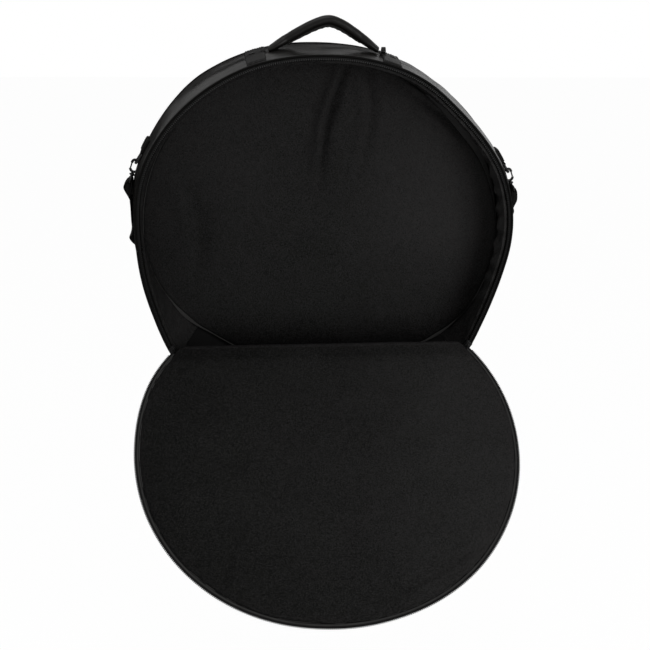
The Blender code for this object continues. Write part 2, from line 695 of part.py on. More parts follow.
def build_chapes(looks, bag):
    """The leather patches that carry the handle, each folded into an eye at its inner end."""
    front = MID_DEPTH - CHAPE_WIDTH / 2
    back = MID_DEPTH + CHAPE_WIDTH / 2
    profile = wall_profile(-SEAT_GAP - CHAPE_THICKNESS, CHAPE_THICKNESS, front, back)
    for side, sign in SIDES.items():
        angles = chape_angles(sign)
        patch = sweep_round(f"handle_chape_{side}", profile, angles, looks["leather"], bag)
        centre = Vector((sign * HANDLE_HALF_SPAN, MID_DEPTH, HANDLE_AXIS_Z))
        sizes = (EYE_RADIUS, EYE_BORE_RADIUS, EYE_LENGTH)
        eye = ring_solid(f"handle_eye_{side}", centre, *sizes, 0, looks["leather"], bag)
        join_solids(patch, [eye])
        middle = (angles[0] + angles[-1]) / 2 - sign * angle_of(EYE_LENGTH / 2)
        skin(f"handle_rivet_{side}", rivet_loops(middle), looks["hardware"], bag)


def rivet_loops(angle):
    """A low domed rivet head standing on the patch."""
    up = polar(1.0, 0.0, angle)
    along = polar(1.0, 0.0, angle + 90)
    seat = outer_radius(MID_DEPTH + RIVET_RADIUS) + CHAPE_THICKNESS + SEAT_GAP * 2
    base = polar(seat, MID_DEPTH, angle)
    turns = [2 * pi * k / ROUND_SIDES for k in range(ROUND_SIDES)]
    loops = []
    for radius_share, height_share in RIVET_DOME_SHARES:
        centre = base + up * RIVET_HEIGHT * height_share
        radius = RIVET_RADIUS * radius_share
        loops.append([centre + radius * (cos(t) * along + sin(t) * BACKWARD) for t in turns])
    return loops


def ring_solid(name, centre, radius, bore, length, axis, surface, parent):
    """A short tube with a bore, along X (axis 0) or Y (axis 1)."""
    loops = []
    for reach, end in ((radius, -1), (radius, 1), (bore, 1), (bore, -1)):
        loop = []
        for k in range(ROUND_SIDES):
            turn = 2 * pi * (k + 0.5) / ROUND_SIDES
            first = reach * cos(turn)
            second = reach * sin(turn)
            shift = end * length / 2
            place = (shift, first, second) if axis == 0 else (first, shift, second)
            loop.append(centre + Vector(place))
        loops.append(loop)
    return skin(name, loops, surface, parent, closed_path=True)


def grip_path():
    """Points and radii of the handle, from its left pin over the grip to its right pin."""
    reach = HANDLE_HALF_SPAN + EYE_LENGTH / 2 + PIN_OVERRUN
    half = [(reach, 0.0, PIN_RADIUS)]
    for x_share, z_share, radius_share in zip(GRIP_X_SHARES, GRIP_Z_SHARES, GRIP_RADIUS_SHARES):
        half.append((HANDLE_HALF_SPAN * x_share, HANDLE_RISE * z_share, GRIP_RADIUS * radius_share))
    top = (0.0, HANDLE_RISE, GRIP_RADIUS)
    whole = [(-x, z, radius) for x, z, radius in half] + [top] + list(reversed(half))
    return whole


def build_handle(looks, bag):
    axis = add_empty("handle_axis", (0.0, MID_DEPTH, HANDLE_AXIS_Z), bag)
    whole = grip_path()
    points = [Vector((x, 0.0, z)) for x, z, _ in whole]
    radii = [radius for _, _, radius in whole]
    tube("handle_grip", points, radii, BACKWARD, GRIP_SIDES, looks["leather"], axis)
    first = 1 + GRIP_RADIUS_SHARES.index(1.0)
    inner = points[first : len(points) - first]
    loops = []
    for k, point in enumerate(inner):
        before = points[first + k - 1]
        after = points[first + k + 1]
        along = (after - before).normalized()
        down = along.cross(BACKWARD)
        down = down if down.z < 0 else -down
        near = point + down * (GRIP_RADIUS + SEAT_GAP)
        far = near + down * FIN_HEIGHT
        half = BACKWARD * FIN_THICKNESS / 2
        loops.append([near - half, near + half, far + half, far - half])
    skin("handle_seam_fin", loops, looks["leather"], axis)


def tab_angle(sign):
    """Height of a side's tab round the gusset. The left one is sewn on a little higher."""
    return LEFT_TAB_ANGLE if sign < 0 else RIGHT_TAB_ANGLE


def side_frame(sign):
    """Directions and places on one side: the bar, the ring's foot and the hook's own line."""
    bar_radius = outer_radius(MID_DEPTH + SLEEVE_WIDTH / 2) + SEAT_GAP + SLEEVE_RADIUS
    bar = polar(bar_radius, MID_DEPTH, tab_angle(sign))
    ring_down = Vector((sin(radians(RING_LEAN_ANGLE)), 0.0, -cos(radians(RING_LEAN_ANGLE))))
    hook_down = Vector((sin(radians(HOOK_LEAN_ANGLE)), 0.0, -cos(radians(HOOK_LEAN_ANGLE))))
    foot = bar + ring_down * RING_DROP
    out = Vector((-hook_down.z, 0.0, hook_down.x))

    def flip(point):
        return Vector((sign * point.x, point.y, point.z))

    return flip, bar, ring_down, foot, hook_down, out


def build_ring_tabs(looks, bag):
    for side, sign in SIDES.items():
        flip, bar, _, _, _, _ = side_frame(sign)
        front = MID_DEPTH - TAB_WIDTH / 2
        back = MID_DEPTH + TAB_WIDTH / 2
        profile = wall_profile(-SEAT_GAP - TAB_THICKNESS, TAB_THICKNESS, front, back)
        start = tab_angle(sign) + angle_of(SLEEVE_BORE_RADIUS + SEAT_GAP, GUSSET_TOP)
        angles = sector_angles(start, tab_angle(sign) + TAB_SPAN_ANGLE)
        if sign < 0:
            angles = [180 - angle for angle in reversed(angles)]
        tab = sweep_round(f"ring_tab_{side}", profile, angles, looks["leather"], bag)
        sizes = (SLEEVE_RADIUS, SLEEVE_BORE_RADIUS, SLEEVE_WIDTH)
        sleeve = ring_solid(f"ring_sleeve_{side}", flip(bar), *sizes, 1, looks["leather"], bag)
        join_solids(tab, [sleeve])


def build_rings(looks, bag):
    """The D-rings, which hang on their bars from the tabs."""
    outline = [*RING_BAR_SHARES, *RING_BOW_SHARES]
    outline += [(drop, -across) for drop, across in reversed(RING_BOW_SHARES[:-1])]
    for side, sign in SIDES.items():
        flip, bar, down, _, _, _ = side_frame(sign)
        axis = add_empty(f"ring_{side}_axis", flip(bar), bag)
        points = []
        for drop, across in outline:
            offset = down * RING_DROP * drop + BACKWARD * RING_HALF_WIDTH * across
            points.append(flip(offset))
        square = flip(Vector((-down.z, 0.0, down.x)))
        radii = [RING_WIRE_RADIUS] * len(points)
        surface = looks["hardware"]
        tube(f"d_ring_{side}", points, radii, square, WIRE_SIDES, surface, axis, True)


def hook_points():
    """The hook's wire in (along, out) pairs, from below the gate round to its nose."""
    half = HOOK_HALF_WIDTH
    top = -(RING_WIRE_RADIUS + HOOK_WIRE_RADIUS + SEAT_GAP)
    bottom = top + HOOK_LENGTH
    bend = [(drop * half, across * half) for drop, across in HOOK_BEND_SHARES]
    foot = [(bottom - drop, across) for drop, across in bend]
    foot += [(bottom, 0.0)] + [(bottom - drop, -across) for drop, across in reversed(bend)]
    bow = [(top + drop * half, across * half) for drop, across in HOOK_BOW_SHARES]
    head = [(along, -across) for along, across in reversed(bow)] + [(top, 0.0)] + bow
    start = (GATE_TOP + GATE_LENGTH + SWING_GAP, half)
    return [start, *foot, (bottom / 2, -half), *head, (GATE_TOP - FACET_GAP, half)]


def build_hooks(looks, bag):
    """A snap hook on each ring, with its sprung gate."""
    wire = (BACKWARD, WIRE_SIDES, looks["hardware"])
    for side, sign in SIDES.items():
        flip, _, _, foot, down, out = side_frame(sign)
        swivel = add_empty(f"hook_{side}_axis", flip(foot), bag)
        points = [flip(down * along + out * across) for along, across in hook_points()]
        tube(f"snap_hook_{side}", points, [HOOK_WIRE_RADIUS] * len(points), *wire, swivel)
        pivot = down * (GATE_TOP + GATE_LENGTH) + out * HOOK_HALF_WIDTH
        axis = add_empty(f"gate_{side}_axis", flip(pivot), swivel)
        heel = flip(down * GATE_WIRE_RADIUS / 2)
        points = [heel, Vector((0.0, 0.0, 0.0)), flip(down * -GATE_LENGTH)]
        radii = [GATE_WIRE_RADIUS * GATE_HEEL_SHARE, GATE_WIRE_RADIUS, GATE_WIRE_RADIUS]
        tube(f"hook_gate_{side}", points, radii, *wire, axis)


def swivel_places():
    """Distances down the hook's line of the post's ends and the strap eye's two bars."""
    top = -(RING_WIRE_RADIUS + HOOK_WIRE_RADIUS + SEAT_GAP)
    post = top + HOOK_LENGTH + HOOK_WIRE_RADIUS + SEAT_GAP
    upper = post + POST_LENGTH
    return post, upper, upper + EYE_DROP


def build_swivel_eyes(looks, bag):
    """The swivel post under each hook, with its collar and the frame that the strap holds."""
    surface = looks["hardware"]
    post, upper, lower = swivel_places()
    middle = (post + upper) / 2
    half = EYE_HALF_WIDTH
    corners = [(upper, -half), (upper, 0.0), (upper, half), (lower, half), (lower, 0.0), (lower, -half)]
    for side, sign in SIDES.items():
        flip, _, _, foot, down, out = side_frame(sign)
        ends = [flip(foot + down * post), flip(foot + down * upper)]
        radii = [POST_RADIUS] * len(ends)
        stem = tube(f"swivel_eye_{side}", ends, radii, BACKWARD, STEM_SIDES, surface, bag)
        ends = [flip(foot + down * (middle + end * COLLAR_LENGTH / 2)) for end in (-1, 1)]
        radii = [COLLAR_RADIUS] * len(ends)
        collar = tube(f"swivel_collar_{side}", ends, radii, BACKWARD, STEM_SIDES, surface, bag)
        points = [flip(foot + down * along + BACKWARD * across) for along, across in corners]
        radii = [EYE_WIRE_RADIUS] * len(points)
        square = flip(out)
        eye = tube(f"swivel_frame_{side}", points, radii, square, WIRE_SIDES, surface, bag, True)
        join_solids(stem, [collar, eye])


def leaf_points():
    """The strap's sewn end, in (along, out) pairs: up the outside, round the bar and back."""
    _, _, bar = swivel_places()
    turn = EYE_WIRE_RADIUS + SEAT_GAP + WEBBING_THICKNESS / 2
    end = bar + LEAF_LENGTH
    outside = [(end - LEAF_LENGTH * up, LEAF_BULGE * out) for up, out in LEAF_OUTSIDE_SHARES]
    inside = [(end - LEAF_LENGTH * up, -LEAF_BULGE * out) for up, out in LEAF_INSIDE_SHARES]
    slope = turn * LEAF_TURN_SHARE
    loop = [(bar, turn), (bar - slope, slope), (bar - turn, 0.0), (bar - slope, -slope), (bar, -turn)]
    start = (end - WEBBING_THICKNESS, LEAF_BULGE * LEAF_TIP_SHARE)
    return [start, *outside, *loop, *inside, (end, 0.0)]


def leaf_route(sign):
    """Places and normals of one side's leaf, with the outer side at +X."""
    _, _, _, foot, down, out = side_frame(sign)
    pairs = leaf_points()
    route = []
    for k, (along, across) in enumerate(pairs):
        before = pairs[max(k - 1, 0)]
        after = pairs[min(k + 1, len(pairs) - 1)]
        step = (down * (after[0] - before[0]) + out * (after[1] - before[1])).normalized()
        route.append((foot + down * along + out * across, Vector((-step.z, 0.0, step.x))))
    return route


def strap_route(sign):
    """Half of the strap's route, from one side's leaf to the middle of the back."""
    route = leaf_route(sign)
    behind = STRAP_Y - MID_DEPTH
    for x_share, depth_share, height_share, side_share, back_share in STRAP_TURN_SHARES:
        place = Vector((GUSSET_TOP * x_share, MID_DEPTH + behind * depth_share, GUSSET_TOP * height_share))
        normal = SIDEWAYS * side_share + BACKWARD * back_share
        route.append((place, normal.normalized()))
    high = route[-1][0]
    run = Vector((-STRAP_RUN, 0.0, -STRAP_RUN)) / sqrt(2)
    route += [(high + run * share, BACKWARD) for share in STRAP_RUN_SHARES]
    low = high + run
    for across_share, drop_share in STRAP_FOOT_SHARES:
        drop = low.x * STRAP_SAG_SHARE * drop_share
        route.append((Vector((low.x * across_share, STRAP_Y, low.z - drop)), BACKWARD))
    return route


def ribbon_loops(route, width, thickness):
    """A flat band along (place, normal) pairs."""
    loops = []
    last = len(route) - 1
    for k, (place, normal) in enumerate(route):
        along = (route[min(k + 1, last)][0] - route[max(k - 1, 0)][0]).normalized()
        across = along.cross(normal).normalized() * width / 2
        face = across.cross(along).normalized() * thickness / 2
        near = place - face
        far = place + face
        loops.append([near - across, near + across, far + across, far - across])
    return loops


def mirrored(route):
    flipped = []
    for place, normal in reversed(route):
        place = Vector((-place.x, place.y, place.z))
        flipped.append((place, Vector((normal.x, -normal.y, -normal.z))))
    return flipped


def build_strap(looks, bag):
    """The shoulder strap, which hangs in a U behind the bag between its two hooks."""
    route = strap_route(SIDES["right"])
    whole = route + mirrored(strap_route(SIDES["left"])[:-1])
    band = ribbon_loops(whole, WEBBING_WIDTH, WEBBING_THICKNESS)
    skin("strap_webbing", band, looks["webbing"], bag)
    foot = len(STRAP_FOOT_SHARES)
    middle = route[-foot:] + mirrored(route[-foot:-1])
    shift = BACKWARD * (WEBBING_THICKNESS / 2 + SEAT_GAP + PAD_THICKNESS / 2)
    pad = [(place - shift, normal) for place, normal in middle]
    skin("strap_pad", ribbon_loops(pad, PAD_WIDTH, PAD_THICKNESS), looks["leather"], bag)
    run_start = len(route) - foot - len(STRAP_RUN_SHARES)
    start = route[run_start][0]
    build_adjuster(looks, bag, Vector((-start.x, start.y, start.z)))


def build_adjuster(looks, bag, place):
    """The metal slide on the strap's left run."""
    runner = add_empty("strap_slide_place", place, bag)
    along = Vector((1.0, 0.0, -1.0)).normalized()
    across = along.cross(BACKWARD)
    half = WEBBING_WIDTH / 2 + KEEPER_PLAY + KEEPER_WIRE_RADIUS
    rise = WEBBING_THICKNESS / 2 + KEEPER_PLAY + KEEPER_WIRE_RADIUS
    corners = [(-half, -rise), (0.0, -rise), (half, -rise), (half, rise), (0.0, rise), (-half, rise)]
    points = [across * x + BACKWARD * y for x, y in corners]
    radii = [KEEPER_WIRE_RADIUS] * len(points)
    tube("strap_slide", points, radii, along, WIRE_SIDES, looks["hardware"], runner, True)


def main():
    clear_scene()
    looks = build_materials()
    bag = add_empty("bag_centre", (0.0, -MID_DEPTH, CENTRE_Z))
    build_body_walls(looks, bag)
    build_body_trim(looks, bag)
    build_back(looks, bag)
    build_apron(looks, bag)
    hinge_place = Vector((0.0, HINGE_Y, -HINGE_DROP))
    hinge = add_empty("lid_hinge", hinge_place, bag, (radians(REST_OPEN_ANGLE), 0.0, 0.0))
    lid = build_lid(looks, hinge)
    build_pocket(looks, lid)
    build_sliders(looks, bag)
    build_chapes(looks, bag)
    build_handle(looks, bag)
    build_ring_tabs(looks, bag)
    build_rings(looks, bag)
    build_hooks(looks, bag)
    build_swivel_eyes(looks, bag)
    build_strap(looks, bag)


main()
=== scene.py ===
"""Looks of a round padded cymbal bag in black imitation leather, open and hung by its handle.

Shapes are worked out in the mouth's own frame, with the origin at the middle of the zip's
circle and the front at -Y, and then moved to their place in the world.
"""
from math import asin, atan2, cos, degrees, pi, radians, sin, sqrt

import bmesh
import bpy
import numpy as np
from mathutils import Matrix, Vector, noise


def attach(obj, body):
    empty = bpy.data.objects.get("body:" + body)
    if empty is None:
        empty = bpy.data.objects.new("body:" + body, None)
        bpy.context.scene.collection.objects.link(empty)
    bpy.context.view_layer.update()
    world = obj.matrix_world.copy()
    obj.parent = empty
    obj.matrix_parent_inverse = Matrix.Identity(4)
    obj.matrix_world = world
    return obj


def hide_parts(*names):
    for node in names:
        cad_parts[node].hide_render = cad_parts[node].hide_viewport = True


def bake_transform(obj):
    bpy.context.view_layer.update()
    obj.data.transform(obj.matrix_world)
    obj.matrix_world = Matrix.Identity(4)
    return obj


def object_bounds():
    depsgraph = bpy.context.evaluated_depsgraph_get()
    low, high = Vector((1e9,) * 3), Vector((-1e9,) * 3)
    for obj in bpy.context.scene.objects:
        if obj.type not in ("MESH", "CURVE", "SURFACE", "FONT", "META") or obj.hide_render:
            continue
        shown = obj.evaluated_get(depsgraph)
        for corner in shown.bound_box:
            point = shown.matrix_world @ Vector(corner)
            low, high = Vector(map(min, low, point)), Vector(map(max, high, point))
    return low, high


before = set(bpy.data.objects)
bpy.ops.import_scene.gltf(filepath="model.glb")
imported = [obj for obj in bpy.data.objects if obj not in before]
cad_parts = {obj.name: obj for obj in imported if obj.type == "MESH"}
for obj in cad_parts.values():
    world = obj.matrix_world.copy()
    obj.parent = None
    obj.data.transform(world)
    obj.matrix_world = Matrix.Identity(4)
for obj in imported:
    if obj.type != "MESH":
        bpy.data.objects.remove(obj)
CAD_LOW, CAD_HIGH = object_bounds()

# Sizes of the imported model, in metres
MOUTH_CENTRE = np.array((0.0, -0.043, -0.318949))
ZIP_RADIUS = 0.2825
SEAM_ANGLE = 42.0
OPEN_ANGLE = 123.0
HINGE = np.array((0.0, -0.0070, -0.163245))
BODY_DEPTH = 0.0860
WALL_FRONT = 0.0020
PAD_FRONT = 0.0047
SKIN = 0.0083
LINING = 0.0025
SEAT_GAP = 0.0003
FRONT_RADIUS = 0.29035
FLARE = 0.0055
BULGE = 0.0015
ROW_INNER = 0.2835
ROW_OUTER = 0.2861
PIPING_AT = 0.2897
PIPING_RADIUS = 0.0017
REAR_PIPING_AT = 0.2952
BACK_FACE = 0.0876
DISC_FRONT = 0.0762
DISC_BACK = 0.0787
LID_RADIUS = 0.2735
LID_ROW_OUTER = 0.2815
LID_ROW_INNER = 0.2789
LID_FRONT = -0.0063
LID_BACK = 0.0038
FLEECE_UNDER = LID_BACK - LINING - 0.0006
FOAM_TOP = LID_BACK - LINING - 0.0009
APRON_RADIUS = 0.2775
APRON_TAPE_AT = APRON_RADIUS + 0.0006
FOLD_GAP = 0.0034
MID_DEPTH = 0.0430
GUSSET_TOP = 0.2946
BACKWARD = np.array((0.0, 1.0, 0.0))
FORWARD = -BACKWARD
SIDES = (("left", -1), ("right", 1))

# Out of round, as the photographed bag is: angle round the mouth in degrees, millimetres outwards
MOUTH_SWELL = (
    (0, -3.5), (8, 0.0), (17, 2.2), (25, 2.0), (33, -1.2), (41, -3.8), (48, -4.6), (56, -1.8),
    (64, -0.4), (75, -2.4), (90, -4.5), (102, -2.2), (111, 0.6), (125, 2.0), (140, 3.2),
    (152, 2.6), (160, -0.5), (168, -6.0), (176, -11.0), (184, -13.0), (194, -13.0), (203, -11.0),
    (210, -6.5), (215, -2.5), (220, 0), (224, 0), (270, 0), (316, 0), (321, -0.5), (326, -3.0),
    (333, -8.0), (343, -10.0), (352, -8.0),
)
# Where the mouth sags inwards it also lies back, so that the closed lid has room: millimetres along +Y
MOUTH_PUSH = (
    (0, 2.0), (8, 0.5), (14, 0), (30, 0), (38, 1.6), (46, 2.6), (54, 1.0), (60, 0), (152, 0),
    (162, 1.5), (170, 4.5), (180, 6.5), (200, 6.5), (208, 4.5), (214, 1.0), (219, 0), (317, 0),
    (324, 1.0), (331, 4.5), (340, 6.0), (352, 5.0),
)
REAR_SWELL = (
    (0, 0), (20, -0.5), (32, -0.5), (45, -3.5), (58, -5.5), (72, -4.0), (84, -5.0), (92, -4.5),
    (104, 0.0), (114, 3.0), (128, 7.5), (142, 4.5), (152, 2.5), (162, 1.5), (172, -1.5),
    (179, -5.5), (186, -8.5), (195, -8.0), (205, -5.0), (216, 0), (270, 0), (324, 0), (345, -2.0),
)
LID_SWELL = (
    (0, 0.5), (20, 0.9), (45, 1.8), (60, 0.8), (75, -1.0), (95, -0.6), (110, 2.2), (125, 3.8),
    (140, 4.0), (155, 3.2), (170, 1.6), (181, 1.0), (188, 1.8), (195, 3.0), (202, 3.8),
    (208, 3.2), (214, 1.2), (270, 0), (326, 0), (336, 0.8), (350, 0.8),
)
# The back panel's edge inside the bag: angle in degrees, radius in millimetres
DISC_EDGE = (
    (0, 283), (7.5, 280), (16, 277.7), (20, 276.3), (25, 274.2), (29, 270.7), (34, 267.3),
    (39, 265.8), (45, 265.8), (50, 266), (56, 268.6), (64, 272), (74, 275), (100, 277),
    (150, 277), (165, 275), (184, 273), (193, 269), (200, 263), (207, 257), (216, 248),
    (223, 239), (232, 232), (250, 227), (270, 226), (290, 231), (305, 244), (316, 258),
    (322, 266), (328, 274), (338, 280), (346, 281), (353, 282.5),
)


def around(table):
    """A smooth closed curve through (angle, value) pairs, as a function of the angle."""
    angles = np.array([pair[0] for pair in table], float)
    values = np.array([pair[1] for pair in table], float)
    dense = np.arange(-360.0, 720.0)
    spread = np.concatenate((angles - 360, angles, angles + 360))
    wave = np.interp(dense, spread, np.tile(values, 3))
    window = np.hanning(15)
    wave = np.convolve(wave, window / window.sum(), mode="same")
    return lambda angle: np.interp(np.mod(angle, 360.0), dense, wave) / 1000


mouth_swell = around(MOUTH_SWELL)
mouth_push = around(MOUTH_PUSH)
rear_swell = around(REAR_SWELL)
lid_swell = around(LID_SWELL)
disc_edge = around(DISC_EDGE)


# Finishes


class Value:
    """A socket's number, so that a finish is written in plain sums."""

    def __init__(self, finish, socket):
        self.finish = finish
        self.socket = socket

    def sum(self, operation, *terms):
        return self.finish.node("ShaderNodeMath", {"operation": operation}, dict(enumerate(terms)))

    def __add__(self, other):
        return self.sum("ADD", self, other)

    def __radd__(self, other):
        return self.sum("ADD", other, self)

    def __sub__(self, other):
        return self.sum("SUBTRACT", self, other)

    def __rsub__(self, other):
        return self.sum("SUBTRACT", other, self)

    def __mul__(self, other):
        return self.sum("MULTIPLY", self, other)

    def __rmul__(self, other):
        return self.sum("MULTIPLY", other, self)

    def __truediv__(self, other):
        return self.sum("DIVIDE", self, other)

    def sine(self):
        return self.sum("SINE", self)

    def clamped(self):
        return self.finish.node("ShaderNodeClamp", None, {0: self})


class Finish:
    """A material: constants go on the shader's sockets, and what varies is fed to them."""

    def __init__(self, name, **constants):
        self.material = bpy.data.materials.new(name)
        self.material.use_nodes = True
        self.tree = self.material.node_tree
        self.shader = self.tree.nodes["Principled BSDF"]
        for socket, value in constants.items():
            self.shader.inputs[socket.replace("_", " ")].default_value = value

    def node(self, kind, settings=None, inputs=None, output=0):
        made = self.tree.nodes.new(kind)
        for key, value in (settings or {}).items():
            if key != "stops":
                setattr(made, key, value)
                continue
            for element, (place, shade) in zip(made.color_ramp.elements, value):
                element.position = place
                element.color = (*shade, 1.0)
        for key, value in (inputs or {}).items():
            if isinstance(value, Value):
                self.tree.links.new(value.socket, made.inputs[key])
            else:
                made.inputs[key].default_value = value
        return Value(self, made.outputs[output])

    def place(self, kind="Object"):
        return self.node("ShaderNodeTexCoord", output=("Generated", "Normal", "UV", "Object").index(kind))

    def cloud(self, scale, detail=2.0, rough=0.55, stretch=None):
        """Soft noise on object coordinates, with scale features per metre."""
        place = self.place()
        if stretch:
            place = self.node("ShaderNodeMapping", None, {0: place, "Scale": stretch})
        sizes = {"Vector": place, "Scale": scale, "Detail": detail, "Roughness": rough}
        return self.node("ShaderNodeTexNoise", {"noise_dimensions": "3D"}, sizes)

    def cells(self, scale, output=0):
        sizes = {"Vector": self.place(), "Scale": scale}
        return self.node("ShaderNodeTexVoronoi", {"feature": "F1"}, sizes, output)

    def mix(self, share, dark, light):
        ends = [shade if isinstance(shade, Value) else (*shade, 1.0) for shade in (dark, light)]
        settings = {"data_type": "RGBA", "clamp_factor": True}
        return self.node("ShaderNodeMix", settings, {0: share, 6: ends[0], 7: ends[1]}, output=2)

    def across(self):
        """The two numbers of the piece's own UV map, in metres along and across it."""
        return [self.node("ShaderNodeSeparateXYZ", None, {0: self.place("UV")}, output=k) for k in (0, 1)]

    def bump(self, height, distance, strength=1.0, under=None):
        inputs = {"Strength": strength, "Distance": distance, "Height": height}
        if under is not None:
            inputs["Normal"] = under
        return self.node("ShaderNodeBump", None, inputs)

    def feed(self, **values):
        for socket, value in values.items():
            self.tree.links.new(value.socket, self.shader.inputs[socket.replace("_", " ")])
        return self.material


def leather_finish(name, dark, light, rough, grain=1500.0, relief=0.00014, shine_level=0.16):
    """Imitation leather: fine pebbles over broad soft waves, dull where it is handled."""
    finish = Finish(name, Specular_IOR_Level=shine_level)
    pebbles = finish.cells(grain)
    fine = finish.cloud(grain * 1.7, 2.0)
    broad = finish.cloud(26.0, 3.0)
    patches = finish.cloud(9.0, 3.0)
    colour = finish.mix((pebbles * 0.5 + broad * 0.7 + patches * 0.3 - 0.35), dark, light)
    shine = rough + (broad - 0.5) * 0.16 + (patches - 0.5) * 0.14 + (fine - 0.5) * 0.10
    grain_bump = finish.bump(pebbles * 0.8 + fine * 0.35, relief, 0.5)
    normal = finish.bump(broad, 0.0011, 0.35, grain_bump)
    return finish.feed(Base_Color=colour, Roughness=shine, Normal=normal)


def fleece_finish(name, dark, light, nap=1700.0):
    """Short brushed pile: a fine speckle over slow shading where the nap lies both ways, and painted light
    and shade that each piece carries in an attribute.
    """
    finish = Finish(name, Specular_IOR_Level=0.0, Roughness=0.97)
    speckle = finish.cloud(nap, 1.0, 0.6)
    tufts = finish.node("ShaderNodeSeparateXYZ", None, {0: finish.cells(nap * 0.42, output=1)})
    slow = finish.cloud(14.0, 3.0, 0.6)
    # lie is the piece's painted light and shade, read from its attribute and added to the colour's share.
    lie = finish.node("ShaderNodeAttribute", {"attribute_name": "painted_light_and_shade"}, output=2)
    share = (speckle - 0.5) * 2.2 + (tufts - 0.5) * 0.36 + (slow - 0.5) * 0.2 + lie + 0.45
    colour = finish.mix(share, dark, light)
    normal = finish.bump(speckle * 0.7 + tufts * 0.6, 0.0007, 0.8)
    return finish.feed(Base_Color=colour, Normal=normal)


def woven_finish(name, dark, light, along, across, rough=0.72, relief=0.00022):
    """A plain weave on the UV map, with a thread every so many metres along and across."""
    finish = Finish(name, Specular_IOR_Level=0.06)
    u, v = finish.across()
    warp = (u * (2 * pi / along)).sine()
    weft = (v * (2 * pi / across)).sine()
    threads = warp * weft * 0.5 + 0.5
    fuzz = finish.cloud(1900.0, 2.0)
    slow = finish.cloud(40.0, 2.0)
    colour = finish.mix(threads * 0.6 + fuzz * 0.5 + slow * 0.4 - 0.35, dark, light)
    normal = finish.bump(threads + fuzz * 0.4, relief, 0.8)
    return finish.feed(Base_Color=colour, Roughness=rough + (fuzz - 0.5) * 0.2, Normal=normal)


def edge_tape_finish(name, dark, light):
    """Zip tape with a painted highlight along its middle and painted shade at both edges, across the UV map.
    """
    finish = Finish(name, Specular_IOR_Level=0.04)
    u, v = finish.across()
    inside = ((v - 0.0011) / 0.0006).clamped()
    outside = ((0.0043 - v) / 0.0006).clamped()
    threads = (u * (2 * pi / 0.0009)).sine() * (v * (2 * pi / 0.0007)).sine() * 0.12
    fuzz = finish.cloud(1900.0, 2.0)
    patchy = finish.cloud(60.0, 2.0)
    # A painted highlight along the tape's middle, patchy at random, with painted shade at both edges.
    share = inside * outside * (0.75 + threads + (fuzz - 0.5) * 0.5 + (patchy - 0.5) * 0.6)
    colour = finish.mix(share, dark, light)
    normal = finish.bump(threads, 0.0003, 0.6)
    return finish.feed(Base_Color=colour, Roughness=0.75 + (fuzz - 0.5) * 0.2, Normal=normal)


def lining_finish(name, dark, light):
    """Smooth taffeta, whose threads only just show."""
    finish = Finish(name, Specular_IOR_Level=0.03)
    threads = finish.cloud(1500.0, 2.0, 0.5, (1.0, 0.25, 1.0))
    slow = finish.cloud(20.0, 3.0)
    colour = finish.mix(threads * 0.6 + slow * 0.6 - 0.1, dark, light)
    normal = finish.bump(threads, 0.00012, 0.5, finish.bump(slow, 0.0012, 0.4))
    return finish.feed(Base_Color=colour, Roughness=0.62 + (threads - 0.5) * 0.2, Normal=normal)


def metal_finish(name, dark, light, rough):
    """Black lacquered metal, a little rubbed, with faint polishing marks."""
    finish = Finish(name, Specular_IOR_Level=0.10)
    marks = finish.cloud(700.0, 3.0, 0.6, (1.0, 0.2, 1.0))
    rubbed = finish.cloud(160.0, 3.0)
    colour = finish.mix(rubbed * 1.3 - 0.2, dark, light)
    normal = finish.bump(marks, 0.00004, 0.5)
    return finish.feed(Base_Color=colour, Roughness=rough + (marks - 0.5) * 0.12, Normal=normal)


def thread_finish(name, dark, light, rough=0.55, painted_top_light=0.0):
    """Twisted thread. Its last argument paints light and shade into it: lighter towards the top of the bag,
    and painted shade further down.
    """
    finish = Finish(name, Specular_IOR_Level=0.12)
    twist = finish.cloud(2600.0, 2.0, 0.5, (1.0, 1.0, 0.4))
    height = finish.node("ShaderNodeSeparateXYZ", None, {0: finish.place()}, output=2)
    # The height term is painted light towards the top of the bag and painted shade lower down.
    colour = finish.mix(twist * 1.2 - 0.1 + (height + 0.08) * painted_top_light, dark, light)
    normal = finish.bump(twist, 0.0001, 0.5)
    return finish.feed(Base_Color=colour, Roughness=rough + twist * 0.1, Normal=normal)


LEATHER = leather_finish(
    "black_imitation_leather", (0.0024, 0.0022, 0.0020), (0.0070, 0.0065, 0.0060), 0.31)
GRIP_LEATHER = leather_finish(
    "handle_leather", (0.0024, 0.0022, 0.0020), (0.0062, 0.0058, 0.0054), 0.36, 1700.0, shine_level=0.09)
PATCH_LEATHER = leather_finish(
    "patch_leather", (0.0018, 0.0017, 0.0016), (0.0052, 0.0049, 0.0046), 0.42, 1700.0, shine_level=0.07)
PIPING_LEATHER = leather_finish(
    "piping_leather", (0.0010, 0.0010, 0.0009), (0.0034, 0.0032, 0.0030), 0.50, 1900.0, shine_level=0.03)
FLEECE = fleece_finish("black_fleece", (0.0020, 0.0020, 0.0020), (0.0232, 0.0227, 0.0224))
TAFFETA = lining_finish("smooth_black_lining", (0.0016, 0.0016, 0.0016), (0.0046, 0.0046, 0.0045))
TURNED_EDGE = leather_finish(
    "turned_in_edge", (0.0016, 0.0016, 0.0015), (0.0060, 0.0058, 0.0056), 0.80, 1900.0, shine_level=0.0)
TAPE = woven_finish(
    "zip_tape_weave", (0.0012, 0.0012, 0.0012), (0.0050, 0.0050, 0.0049), 0.0009, 0.0007)
